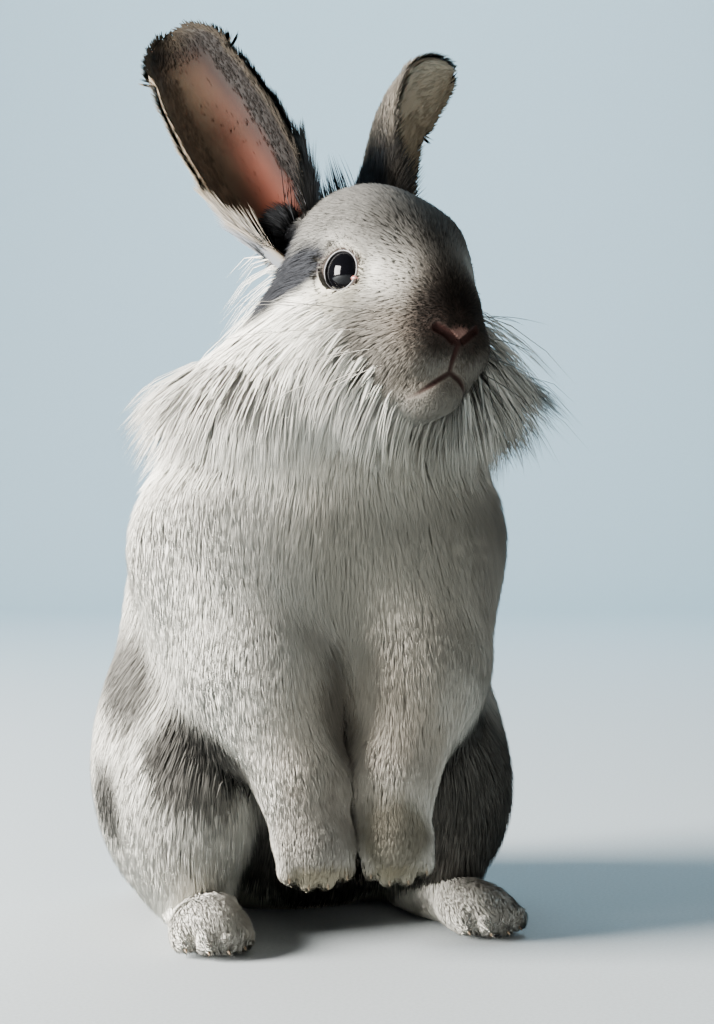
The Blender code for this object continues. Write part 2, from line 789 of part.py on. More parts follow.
def fused(core, pieces, solver):
    """The core and its pieces joined into one body by one union on their collection."""
    group = bpy.data.collections.new("pieces")
    bpy.context.scene.collection.children.link(group)
    for piece in pieces:
        bpy.context.scene.collection.objects.unlink(piece)
        group.objects.link(piece)
    join = core.modifiers.new("Fused", "BOOLEAN")
    join.operation = "UNION"
    join.operand_type = "COLLECTION"
    join.collection = group
    join.solver = solver
    applied(core)
    removed(*pieces)
    bpy.data.collections.remove(group)
    return core


# Colours as seen in daylight, and how rough each finish is
FINISHES = {
    "white_fur": ((0.80, 0.76, 0.70), 0.9),
    "grey_fur": ((0.42, 0.38, 0.35), 0.9),
    "tan_fur": ((0.68, 0.60, 0.50), 0.9),
    "ear_fur": ((0.36, 0.30, 0.26), 0.85),
    "eye": ((0.012, 0.012, 0.016), 0.05),
}
FINISH_OF = {
    "head": "grey_fur",
    "ear_left": "ear_fur",
    "ear_right": "ear_fur",
    "eye_left": "eye",
    "eye_right": "eye",
    "forepaw_left": "tan_fur",
    "forepaw_right": "tan_fur",
    "tail": "grey_fur",
}


def finish(name):
    material = bpy.data.materials.new(name)
    material.use_nodes = True
    colour, roughness = FINISHES[name]
    shader = material.node_tree.nodes["Principled BSDF"]
    shader.inputs["Base Color"].default_value = (*colour, 1)
    shader.inputs["Roughness"].default_value = roughness
    return material


def pieces_of_model():
    return [obj for obj in bpy.data.objects if obj.type == "MESH" and not obj.hide_render]


def finished():
    """Every piece gets its finish, and the origin goes to the floor under the model's middle."""
    pieces = pieces_of_model()
    corners = np.vstack([points_of(piece.data) for piece in pieces])
    middle = (corners.min(axis=0) + corners.max(axis=0)) / 2
    shift = Matrix.Translation((-middle[0], -middle[1], -corners[:, 2].min()))
    materials = {name: finish(name) for name in FINISHES}
    for piece in pieces:
        piece.data.transform(shift)
        piece.data.materials.clear()
        piece.data.materials.append(materials[FINISH_OF.get(piece.name, "white_fur")])


def main():
    removed(*bpy.data.objects)
    floor = half_space("floor", (0, 0, 0), (0, 0, -1))
    whole = flesh("whole", BODY, HEAD, VOXEL_BODY, BODY_FACES)
    changed_by(whole, floor, "DIFFERENCE")
    head = flesh("head", NECK, HEAD, VOXEL_HEAD, HEAD_FACES, mouth_detail)
    point, down = out_of_head(HEAD_CUT[0]), HEAD_AXES @ np.array(HEAD_CUT[1])
    below = half_space("below", point, down, -JOINT_GAP / 2)
    changed_by(head, below, "DIFFERENCE")
    above = half_space("above", point, -down, -LOCK_GAP)
    changed_by(whole, above, "DIFFERENCE")
    removed(floor, below, above)

    forelegs = []
    for name, sign in (("right", -1), ("left", 1)):
        foreleg = parted(whole, "foreleg_" + name, lambda more: arm_region(sign, more))
        wrist = np.array(at(sign, WRIST, PAW_SHIFT))
        elbow = np.array(at(sign, ELBOW))
        foreleg, _forepaw = cut_in_two(foreleg, "foreleg_" + name, "forepaw_" + name, wrist, wrist - elbow)
        forelegs.append(foreleg)
        parted(whole, "hind_foot_" + name, lambda more: foot_region(sign, more))
        parted(whole, "thigh_" + name, lambda more: thigh_region(sign, more))
    trunk, _tail = cut_in_two(whole, "trunk", "tail", (0, 61, 20), (0, 1, -0.2))
    neck, torso = cut_in_two(trunk, "neck", "torso", *TORSO_CUT)

    for name, sign in (("right", -1), ("left", 1)):
        for hole in (eyeball("socket", sign, JOINT_GAP), lid_opening(sign)):
            changed_by(head, hole, "DIFFERENCE")
            removed(hole)
        eyeball("eye_" + name, sign)
    largest_body(head)
    clear_of_head = grown(head, LOCK_GAP)
    leaves = [ear(name) for name in ("right", "left")]
    for leaf in leaves:
        changed_by(leaf, clear_of_head, "DIFFERENCE")
        largest_body(leaf)
    removed(clear_of_head)
    fused(head, crest_locks(), "MANIFOLD")
    for leaf in leaves:
        clear_of_ear = grown(leaf, JOINT_GAP)
        changed_by(head, clear_of_ear, "DIFFERENCE")
        removed(clear_of_ear)
    largest_body(head)
    blockers = [grown(piece, LOCK_GAP) for piece in (head, torso, *leaves)]
    blockers.extend(grown(foreleg, LOCK_GAP) for foreleg in forelegs)
    fused(neck, mane_locks(), "MANIFOLD")
    for blocker in blockers:
        changed_by(neck, blocker, "DIFFERENCE")
    removed(*blockers)
    largest_body(neck)
    finished()


main()
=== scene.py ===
# %% [markdown]
# # A dwarf lionhead rabbit, sitting up
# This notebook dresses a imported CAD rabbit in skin, fur, eyes, claws and whiskers. The CAD solids
# give the outline out to the tips of the coat. Here one skin is laid inside them, deep enough to
# leave room for the coat, and the coat itself grows on that skin as many small solid tufts.

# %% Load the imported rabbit
import math
import random
import time
from collections import namedtuple

import bmesh
import bpy
import numpy as np
from mathutils import Euler, Matrix, Vector
from mathutils.kdtree import KDTree


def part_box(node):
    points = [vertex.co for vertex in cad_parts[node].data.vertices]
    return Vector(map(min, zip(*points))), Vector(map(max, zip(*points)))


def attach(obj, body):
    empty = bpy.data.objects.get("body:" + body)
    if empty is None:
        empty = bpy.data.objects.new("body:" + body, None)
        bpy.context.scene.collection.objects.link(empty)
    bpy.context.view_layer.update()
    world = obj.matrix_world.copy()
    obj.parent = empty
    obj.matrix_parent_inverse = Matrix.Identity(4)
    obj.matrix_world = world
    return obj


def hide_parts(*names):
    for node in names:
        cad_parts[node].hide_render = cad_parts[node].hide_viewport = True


START = time.time()
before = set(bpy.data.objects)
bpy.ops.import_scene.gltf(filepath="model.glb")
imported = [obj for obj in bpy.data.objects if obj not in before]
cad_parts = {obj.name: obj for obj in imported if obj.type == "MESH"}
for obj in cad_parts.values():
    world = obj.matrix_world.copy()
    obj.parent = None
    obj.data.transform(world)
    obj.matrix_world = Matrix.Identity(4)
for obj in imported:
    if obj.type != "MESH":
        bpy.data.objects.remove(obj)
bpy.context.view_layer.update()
MM = 0.001
print("CAD nodes:", ", ".join(sorted(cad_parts)))


def clock(label):
    print(f"{label}: {time.time() - START:.0f} s since the start")


# %% [markdown]
# ## Helpers for meshes and colours
# Every piece is built in millimetres and stored in metres, with its object at the origin, so that
# a piece lies where the CAD says. Colours are written as the hex values that a screen shows, and one
# function turns them to the linear values that the shaders use.


# %% Mesh helpers
def linear(hex_colour):
    """Linear red, green and blue of an sRGB hex colour."""
    values = [int(hex_colour[i : i + 2], 16) / 255 for i in (1, 3, 5)]
    return np.array([v / 12.92 if v <= 0.04045 else ((v + 0.055) / 1.055) ** 2.4 for v in values])


SHIFT = np.zeros(3)


def linked(name, data):
    """A new object in the scene around its data."""
    made = bpy.data.objects.new(name, data)
    bpy.context.scene.collection.objects.link(made)
    return made


def object_of(name, bm):
    """An object in metres, over the CAD's floor, from a bmesh in millimetres."""
    bm.transform(Matrix.Scale(MM, 4) @ Matrix.Translation(SHIFT))
    mesh = bpy.data.meshes.new(name)
    bm.to_mesh(mesh)
    bm.free()
    mesh.polygons.foreach_set("use_smooth", [True] * len(mesh.polygons))
    return linked(name, mesh)


def applied(obj):
    """The object with its modifiers worked into its mesh."""
    graph = bpy.context.evaluated_depsgraph_get()
    mesh = bpy.data.meshes.new_from_object(obj.evaluated_get(graph))
    obj.modifiers.clear()
    obj.data = mesh
    return obj


def points_of(mesh):
    """The places of a mesh's vertices, in millimetres."""
    flat = np.empty(len(mesh.vertices) * 3)
    mesh.vertices.foreach_get("co", flat)
    return flat.reshape(-1, 3) / MM - SHIFT


def put_points(mesh, points):
    mesh.vertices.foreach_set("co", ((points + SHIFT) * MM).ravel())
    mesh.update()


def unit(vectors):
    return vectors / np.maximum(np.linalg.norm(vectors, axis=-1, keepdims=True), 1e-9)


def turn_matrix(turn):
    """Rotation matrix of three turns in degrees, about X, then Y, then Z."""
    return np.array(Euler([math.radians(angle) for angle in turn]).to_matrix())


def triangles_of(obj):
    obj.data.calc_loop_triangles()
    return len(obj.data.loop_triangles)


# %% [markdown]
# ## The body as melted masses
# A sitting rabbit is a set of soft masses: barrel, chest, haunches, arms, skull, cheeks. Sculpting
# would do as well, but a list of named eggs and bars is easy to check against the CAD, which was made
# from the same list. Each mass has a distance function, and neighbouring masses are melted together.

# %% The masses
Egg = namedtuple("Egg", "centre radii turn blend")
Limb = namedtuple("Limb", "start end start_radius end_radius blend")

HEAD_PLACE = np.array((13.2, -38.4, 194.0))
HEAD_AXES = turn_matrix((0, 0, 15))
PAW_SHIFT = -2.5
SHOULDER, ELBOW, WRIST, PAW_END = (34, -22, 116), (24.5, -44, 80), (13.8, -60, 50), (11.8, -65, 35)


def egg(centre, radii, turn=(0, 0, 0), blend=8):
    return Egg(np.array(centre, float), np.array(radii, float), turn, blend)


def limb(start, end, start_radius, end_radius, blend=8):
    return Limb(np.array(start, float), np.array(end, float), start_radius, end_radius, blend)


def mirrored(mass):
    flip = np.array((-1, 1, 1))
    if isinstance(mass, Egg):
        turn = (mass.turn[0], -mass.turn[1], -mass.turn[2])
        return mass._replace(centre=mass.centre * flip, turn=turn)
    return mass._replace(start=mass.start * flip, end=mass.end * flip)


def pair(mass):
    return [mass, mirrored(mass)]


def at(side, point, shift=0.0):
    return (side * point[0] + shift, point[1], point[2])


# Each toe's place across its foot, and the height or the forward reach of its tip
FORE_TOE_PLACES = ((-7.2, 24.5), (-2.4, 22.2), (2.6, 22.2), (7.4, 24.5))
HIND_TOE_PLACES = ((-7.6, -60.5), (-2.6, -64), (2.6, -63.5), (7.6, -59))
FORE_TOES = [
    limb(
        at(side, (11.8 + out, -69, 32), PAW_SHIFT),
        at(side, (11.8 + 1.15 * out, -70, reach), PAW_SHIFT),
        4.3,
        3.4,
        blend=2,
    )
    for out, reach in FORE_TOE_PLACES
    for side in (-1, 1)
]
HIND_TOES = [
    toe
    for out, reach in HIND_TOE_PLACES
    for toe in pair(limb((41 + out, -52, 6), (42 + 1.1 * out, reach, 5), 4.8, 4.2, blend=2))
]
REGIONS = {
    "trunk": [
        egg((1.5, 8, 60), (59, 49, 62)),
        egg((0, 24, 36), (51, 42, 37), blend=20),
        egg((1.5, 14, 98), (55, 38, 50), blend=16),
        egg((4, -14, 118), (51, 38, 48), blend=20),
    ],
    "neck": [
        limb((5, -16, 140), (8, -26, 174), 38, 31, blend=16),
        egg((8, -24, 161), (53, 40, 22), turn=(-18, 0, 0), blend=16),
    ],
    "haunch": pair(egg((40, 0, 45), (26.5, 44, 43), turn=(12, 0, 0), blend=12))
    + pair(egg((41, -26, 38), (19, 21, 27), turn=(-10, 0, 0), blend=9)),
    "foot": pair(egg((36, 34, 10), (12, 16, 12), blend=5))
    + pair(egg((37, -9, 7.5), (12.5, 44, 11.5), turn=(0, 0, 4), blend=5))
    + pair(egg((41, -50, 7), (11.5, 15, 7.8), turn=(0, 0, 6), blend=5)),
    "upper_arm": pair(limb(SHOULDER, ELBOW, 23, 20, blend=24)),
    "forearm": [limb(at(side, ELBOW), at(side, WRIST, PAW_SHIFT), 19, 13.4, blend=12) for side in (-1, 1)],
    "paw": [
        mass
        for side in (-1, 1)
        for mass in (
            limb(at(side, WRIST, PAW_SHIFT), at(side, PAW_END, PAW_SHIFT), 13.2, 11.6, blend=4),
            egg(at(side, (11.6, -66, 31), PAW_SHIFT), (11.7, 11.5, 10.5), blend=3),
        )
    ],
    "tail": [
        egg((0, 66, 15), (14, 17, 13), turn=(24, 0, 0), blend=5),
        egg((0, 76, 21), (11, 13, 10), turn=(40, 0, 0), blend=6),
    ],
    "fore_toes": FORE_TOES,
    "hind_toes": HIND_TOES,
}
HEAD = [
    egg((0, 6, 7), (23, 32, 25.5)),
    egg((0, -17, -2), (17.5, 24, 19), turn=(38, 0, 0), blend=14),
    egg((0, -29, -14), (15, 15, 14.5), blend=10),
    *pair(egg((17, -1, -16), (15, 21, 19), blend=12)),
    *pair(egg((11, -10, 12), (8.5, 13, 8), turn=(0, 20, 0), blend=9)),
    egg((0, -4, -25), (18.5, 32, 17), blend=12),
    *pair(egg((7.6, -32.5, -21.5), (9, 10, 8.5), blend=6)),
    egg((0, -39.5, -15.5), (6.5, 5.5, 6), blend=5),
    egg((0, -29, -33), (11, 11, 8), blend=6),
    *pair(egg((13, 33, 18), (9, 9, 12), blend=8)),
]
NAMES = [*REGIONS, "head"]


# %% The distance to the melted masses
def in_head(points):
    return (points - HEAD_PLACE) @ HEAD_AXES


def out_of_head(points):
    return np.asarray(points) @ HEAD_AXES.T + HEAD_PLACE


def gap_to_egg(points, mass):
    local = (points - mass.centre) @ turn_matrix(mass.turn)
    reach = np.linalg.norm(local / mass.radii, axis=1)
    slope = np.linalg.norm(local / mass.radii**2, axis=1)
    return reach * (reach - 1) / np.maximum(slope, 1e-9)


def gap_to_limb(points, mass):
    along = mass.end - mass.start
    share = np.clip((points - mass.start) @ along / (along @ along), 0, 1)
    nearest = mass.start + share[:, None] * along
    radius = mass.start_radius + share * (mass.end_radius - mass.start_radius)
    return np.linalg.norm(points - nearest, axis=1) - radius


def gap_to(points, mass):
    return gap_to_egg(points, mass) if isinstance(mass, Egg) else gap_to_limb(points, mass)


def melted(first, second, blend):
    """The smaller of two gaps, with the crease between them filled over the blend's width."""
    share = np.clip(0.5 + 0.5 * (second - first) / blend, 0, 1)
    return second + (first - second) * share - blend * share * (1 - share)


def melted_gap(points, masses):
    gap = gap_to(points, masses[0])
    for mass in masses[1:]:
        gap = melted(gap, gap_to(points, mass), mass.blend)
    return gap


# %% [markdown]
# ## Eyes, nostrils and mouth in the same field
# The lids are a thin dome over each eyeball, and the nostrils and the line of the mouth are narrow
# grooves laid on the face. They could be cut with Booleans, but grooves that are part of the field
# stay smooth on a fine mesh.

# %% The face's details
EYE_RADIUS, EYE_DEPTH, LID_THICKNESS = 8.6, 7.0, 1.3
NOSTRIL_LINE = ((1.8, -19.5), (4.6, -17.2), (7.0, -16.0))
PHILTRUM_LINE = ((0, -20), (0, -24), (0, -28.4))
LIP_LINE = ((0, -28.4), (3.6, -30.4), (7.2, -33.2), (10.2, -36.2))
NOSTRIL_RADIUS, MOUTH_RADIUS, GROOVE_DEPTH, GROOVE_SPACING = 1.2, 0.7, 0.15, 1.2
GROOVE_BLEND = 0.6
MUZZLE, MUZZLE_REACH = np.array((0, -38, -23)), 24


def eye_axes(side):
    """Axes of an eye in the head: its outward line is the third column."""
    back, up = math.radians(20), math.radians(6)
    out = Vector((side, -math.sin(back), math.sin(up))).normalized()
    rise = (Vector((0, 0, 1)) - out * out.z).normalized()
    return np.array([rise.cross(out), rise, out]).T


def reach_of(gap_function, starts, ways, longest=90, step=1.5):
    """How far each start is from the surface along its way outward."""
    previous = gap_function(starts)
    reach = np.zeros(len(starts))
    found = np.zeros(len(starts), bool)
    for distance in np.arange(step, longest, step):
        gap = gap_function(starts + distance * ways)
        crossed = ~found & (previous < 0) & (gap >= 0)
        reach[crossed] = distance - step * (gap / (gap - previous))[crossed]
        found |= crossed
        previous = gap
    return reach


def eye_place(side):
    out = eye_axes(side)[:, 2]
    start = np.array((side * 4.0, -10.0, 0.0))
    surface = reach_of(lambda points: melted_gap(points, HEAD), start[None], out[None])[0]
    return start + (surface - EYE_DEPTH) * out


def face_depth(local):
    """How deep the skin lies under the face's coat: thin on the nose, deeper to the cheeks and nape."""
    back = np.clip((local[:, 1] + 30) / 50, 0, 1)
    low = np.clip((-8 - local[:, 2]) / 25, 0, 1) * np.clip((local[:, 1] + 38) / 25, 0, 1)
    return 1.1 + 2.6 * back + 1.5 * low


def groove_on_face(line, side, radius):
    """Bars along a groove's line, which is seen from the front and laid on the skin of the face."""
    corners = np.array(line, float)
    steps = np.linalg.norm(np.diff(corners, axis=0), axis=1)
    travel = np.concatenate([[0], np.cumsum(steps)])
    places = np.linspace(0, travel[-1], math.ceil(travel[-1] / GROOVE_SPACING) + 1)
    across, up = (np.interp(places, travel, corners[:, i]) for i in (0, 1))
    starts = np.stack([side * across, np.full_like(across, -20), up], axis=1)
    forward = np.zeros_like(starts) + (0, -1, 0)
    reach = reach_of(lambda points: melted_gap(points, HEAD), starts, forward)
    surface = starts + reach[:, None] * forward
    line = surface - (face_depth(surface) + GROOVE_DEPTH)[:, None] * forward
    return [limb(a, b, radius, radius) for a, b in zip(line, line[1:])]


EYE_PLACES = {side: eye_place(side) for side in (-1, 1)}
NOSTRILS = [groove_on_face(NOSTRIL_LINE, side, NOSTRIL_RADIUS) for side in (-1, 1)]
LIPS = [groove_on_face(LIP_LINE, side, MOUTH_RADIUS) for side in (-1, 1)]
GROOVES = [groove_on_face(PHILTRUM_LINE, 1, MOUTH_RADIUS)] + NOSTRILS + LIPS
# The CAD was moved over its floor after it was made, and an eye shows by how much
eye_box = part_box("eye_right")
SHIFT = np.array((Vector(eye_box[0]) + Vector(eye_box[1])) / 2) / MM - out_of_head(EYE_PLACES[-1])
print("The CAD's shift in mm:", SHIFT.round(2))


def gap_to_eyes(local):
    """Distance to the middle of the nearer eye."""
    return np.min([np.linalg.norm(local - EYE_PLACES[side], axis=1) for side in (-1, 1)], axis=0)


def gap_to_groove(points, groove):
    return np.min([gap_to_limb(points, bar) for bar in groove], axis=0)


def gap_to_grooves(points):
    """Gap to the nearest groove, worked out only near the muzzle."""
    gap = np.full(len(points), 20.0)
    near = np.flatnonzero(np.linalg.norm(points - MUZZLE, axis=1) < MUZZLE_REACH)
    if len(near):
        gap[near] = np.min([gap_to_groove(points[near], groove) for groove in GROOVES], axis=0)
    return gap


def gap_to_head(points):
    gap = melted_gap(points, HEAD)
    for side in (-1, 1):
        dome = np.linalg.norm(points - EYE_PLACES[side], axis=1) - EYE_RADIUS - LID_THICKNESS
        gap = melted(gap, dome, 4)
    return gap


# %% [markdown]
# ## How deep the skin lies under the coat
# The tips of the fur are the CAD's surface. On the nose the coat is about a millimetre deep, on the
# body most of a centimetre. The depth of each region is a number, and the nearer regions share it.

# %% The coat's depth
Coat = namedtuple("Coat", "depth length width spacing flow")
# Depth, length and width of the tufts and the space between their roots in mm, and the way they lie
COATS = {
    "trunk": Coat(3.8, 16, 0.56, 0.74, (0, 0.10, -1)),
    "neck": Coat(4.4, 20, 0.56, 0.80, (0, 0.0, -1)),
    "haunch": Coat(3.8, 16, 0.56, 0.74, (0, 0.25, -1)),
    "foot": Coat(2.0, 8, 0.42, 0.66, (0, -1, -0.15)),
    "upper_arm": Coat(3.2, 13, 0.52, 0.68, (0, -0.35, -0.9)),
    "forearm": Coat(2.2, 9, 0.44, 0.62, (-0.1, -0.35, -0.9)),
    "paw": Coat(1.4, 5, 0.34, 0.50, (0, -0.3, -1)),
    "tail": Coat(3.6, 13, 0.60, 0.80, (0, 0.6, 0.8)),
    "fore_toes": Coat(1.1, 3.2, 0.30, 0.42, (0, -0.2, -1)),
    "hind_toes": Coat(1.1, 3.0, 0.32, 0.46, (0, -1, -0.3)),
    "head": Coat(2.2, 8, 0.38, 0.54, (0, 0, 0)),
}
DEPTHS = np.array([COATS[name].depth for name in NAMES])
REGION_BLEND = 5.0


def coat_field(points):
    """Gap to the coat's surface, and the share that each region has in each point."""
    gap, nearest = None, []
    for masses in REGIONS.values():
        own = None
        for mass in masses:
            new = gap_to(points, mass)
            own = new if own is None else np.minimum(own, new)
            gap = new if gap is None else melted(gap, new, mass.blend)
        nearest.append(own)
    head = gap_to_head(in_head(points))
    nearest.append(head)
    gap = melted(gap, head, 14)
    nearest = np.array(nearest)
    share = np.exp(-(nearest - nearest.min(axis=0)) / REGION_BLEND)
    return gap, (share / share.sum(axis=0)).T


def coat_depth(points, shares):
    """How deep the skin lies under the coat, and thinnest round the eyes."""
    local = in_head(points)
    eye_gap = gap_to_eyes(local)
    face = face_depth(local) * np.clip((eye_gap - EYE_RADIUS - 1) / 8, 0.12, 1)
    return shares[:, :-1] @ DEPTHS[:-1] + shares[:, -1] * face


def gap_to_skin(points):
    gap, shares = coat_field(points)
    gap = gap + coat_depth(points, shares)
    return -melted(-gap, gap_to_grooves(in_head(points)), GROOVE_BLEND)


def slope_of(gap_function, points, gap):
    step = 0.05
    moved = [gap_function(points + step * axis) for axis in np.eye(3)]
    return (np.array(moved).T - gap[:, None]) / step


def settled(points, rounds, longest=3.0):
    """Each point moved along the slope of the gap until it lies on the skin."""
    for _ in range(rounds):
        gap = gap_to_skin(points)
        slope = slope_of(gap_to_skin, points, gap)
        square = np.maximum((slope**2).sum(axis=1), 0.05)
        step = -(gap / square)[:, None] * slope
        length = np.linalg.norm(step, axis=1, keepdims=True)
        points = points + step * np.minimum(1, longest / np.maximum(length, 1e-9))
    return points


# %% [markdown]
# ## One skin from nose to tail
# Balls are laid along every mass, joined by a voxel remesh into one closed surface, and then settled
# on the skin's depth. The face is subdivided once more, so that its grooves have enough faces.

# %% Make the skin
VOXEL = 1.5
# How far from a groove and from an eye's middle the skin is made finer, in two rounds
FINE_REACHES = ((9, 14), (2.2, 10.5))
SKIN_CLEAR = 0.3
LID_WIDE, LID_HIGH, EYE_REACH = 6.2, 6.0, 14


def eye_frame(side):
    axes = Matrix(HEAD_AXES @ eye_axes(side)).to_4x4()
    return Matrix.Translation(out_of_head(EYE_PLACES[side])) @ axes


def add_mass(bm, mass, place):
    if isinstance(mass, Egg):
        turn = Matrix(turn_matrix(mass.turn)).to_4x4()
        size = Matrix.Diagonal((*(mass.radii - 2), 1))
        matrix = place @ Matrix.Translation(mass.centre) @ turn @ size
        bmesh.ops.create_icosphere(bm, subdivisions=3, radius=1, matrix=matrix)
        return
    count = max(2, math.ceil(np.linalg.norm(mass.end - mass.start) / (0.5 * mass.end_radius)))
    for i in range(count + 1):
        share = i / count
        radius = mass.start_radius + share * (mass.end_radius - mass.start_radius) - 0.8
        matrix = place @ Matrix.Translation(mass.start + share * (mass.end - mass.start))
        bmesh.ops.create_icosphere(bm, subdivisions=2, radius=radius, matrix=matrix)


def rough_body():
    bm = bmesh.new()
    for masses in REGIONS.values():
        for mass in masses:
            add_mass(bm, mass, Matrix())
    head_frame = Matrix.Translation(HEAD_PLACE) @ Matrix(HEAD_AXES).to_4x4()
    for mass in HEAD:
        add_mass(bm, mass, head_frame)
    made = object_of("skin", bm)
    remesh = made.modifiers.new("Joined", "REMESH")
    remesh.mode = "VOXEL"
    remesh.voxel_size = VOXEL * MM
    return applied(made)


def make_skin():
    """The rough body, settled, finer on the face, and open between the lids."""
    made = rough_body()
    put_points(made.data, settled(points_of(made.data), 4))
    for groove_reach, eye_reach in FINE_REACHES:
        local = in_head(points_of(made.data))
        eye_gap = gap_to_eyes(local)
        fine = (gap_to_grooves(local) < groove_reach) | (eye_gap < eye_reach)
        bm = bmesh.new()
        bm.from_mesh(made.data)
        edges = [edge for edge in bm.edges if fine[edge.verts[0].index] and fine[edge.verts[1].index]]
        bmesh.ops.subdivide_edges(bm, edges=edges, cuts=1, use_grid_fill=True)
        bmesh.ops.triangulate(bm, faces=[face for face in bm.faces if len(face.verts) > 4])
        bm.to_mesh(made.data)
        bm.free()
        put_points(made.data, settled(points_of(made.data), 2))
    points = points_of(made.data)
    points[:, 2] = np.maximum(points[:, 2], SKIN_CLEAR)
    put_points(made.data, points)
    opened(made)
    return made


def opened(made):
    """The skin without the faces over the eyeballs, its edges drawn to a neat oval."""
    bm = bmesh.new()
    bm.from_mesh(made.data)
    for side in (-1, 1):
        frame_of_eye = eye_frame(side)
        away = frame_of_eye.inverted()

        def ring_place(co):
            local = away @ (Vector(co) / MM - Vector(SHIFT))
            return local, math.hypot(local.x / LID_WIDE, local.y / LID_HIGH)

        doomed = []
        for face in bm.faces:
            local, reach = ring_place(face.calc_center_median())
            if local.z > 0 and local.length < EYE_REACH and reach < 1:
                doomed.append(face)
        bmesh.ops.delete(bm, geom=doomed, context="FACES")
        for vert in {vert for edge in bm.edges if edge.is_boundary for vert in edge.verts}:
            local, reach = ring_place(vert.co)
            if local.length < EYE_REACH and local.z > 0:
                flat = Vector((local.x / reach, local.y / reach, 0))
                flat.z = math.sqrt(max(0, (EYE_RADIUS + 0.35) ** 2 - flat.length_squared))
                vert.co = (frame_of_eye @ flat + Vector(SHIFT)) * MM
    bm.to_mesh(made.data)
    bm.free()
    made.data.update()


skin = make_skin()
print("skin:", len(skin.data.vertices), "points")
clock("skin")


# %% [markdown]
# ## The markings, painted shade and painted light
# The rabbit is cream white with slate grey behind the eyes and between the ears, a grey-brown brow, a sooty
# nose, and dark bands on its haunches. Some eggs are painted shade: the middle of the chest, the side away
# from the key light, the left forepaw, the belly between the legs, the whisker pads and the chin are
# darkened. The crest is lightened as painted light. The same function of place colours the skin and the coat.
# Each marking is a soft egg in space, and slow waves of noise break up its edge, as in fur.

# %% The markings, painted shade and painted light as soft eggs
Patch = namedtuple("Patch", "colour centre radii turn soft strength")


def patch(colour, centre, radii, turn=(0, 0, 0), soft=0.5, strength=1.0):
    return Patch(linear(colour), np.array(centre, float), np.array(radii, float), turn, soft, strength)


def both(colour, centre, radii, **extra):
    """The same marking on the right and on the left of the head."""
    return [patch(colour, at(side, centre), radii, **extra) for side in (-1, 1)]


CREAM = linear("#f4f0e3")
BODY_PATCHES = [
    # Painted shade, partly greyish cream fur: the middle of the chest is darker away from the key light
    patch("#8f8776", (14, -60, 128), (36, 34, 58), soft=1.0, strength=0.65),
    # Painted shade, partly grey-brown fur: the animal's left flank is darkened on the side away from the key
    # light
    patch("#857f72", (54, -30, 128), (22, 40, 60), soft=1.0, strength=0.6),
    patch("#b8ab98", (-2, -64, 66), (30, 24, 26), soft=0.9, strength=0.65),
    # Painted shade, partly grey-beige fur: the animal's left shoulder is darkened away from the key light
    patch("#a8a298", (52, -26, 112), (18, 34, 46), soft=0.9, strength=0.6),
    patch("#2a2825", (-60, -8, 84), (14, 26, 12), turn=(28, 0, 0), soft=0.6, strength=0.9),
    patch("#45433f", (-42, -42, 60), (18, 20, 12), turn=(30, 32, 0), soft=0.6),
    patch("#2a2826", (-66, -13, 47), (11, 14, 13), soft=0.6, strength=0.9),
    patch("#8a877f", (-44, -46, 38), (18, 20, 20), turn=(0, 25, 0), soft=0.9, strength=0.4),
    patch("#45423e", (-58, 22, 84), (16, 16, 20), soft=0.7, strength=0.7),
    patch("#353330", (-50, 38, 48), (18, 22, 22), soft=0.6, strength=0.9),
    patch("#53514c", (44, -36, 46), (26, 28, 28), soft=0.5),
    patch("#66635d", (34, -46, 26), (18, 18, 10), soft=0.8, strength=0.7),
    patch("#302e2b", (58, 4, 62), (18, 26, 30), soft=0.6, strength=0.85),
    patch("#453f38", (-6, -58, 72), (7, 12, 22), soft=1.0, strength=0.75),
    # Painted shade: the belly between the hind legs, under the forepaws, is darkened where shade falls
    patch("#1f1d1b", (2, -36, 30), (30, 24, 30), soft=0.5, strength=0.95),
    patch("#3f3c38", (4, 52, 100), (40, 24, 60), soft=0.7, strength=0.8),
    patch("#31302d", (0, 66, 40), (34, 24, 34), soft=0.6, strength=0.9),
    patch("#5f5246", (-16, -74, 38), (17, 15, 17), soft=0.9, strength=0.6),
    patch("#a2977c", (-14, -76, 23), (14, 12, 6), soft=0.7, strength=0.75),
    # Painted shade: the left forepaw is darkened where it lies in shade
    patch("#87806f", (8, -76, 36), (12, 14, 14), soft=0.7, strength=0.9),
    patch("#8f856a", (10, -76, 23), (13, 12, 5), soft=0.7, strength=0.6),
]
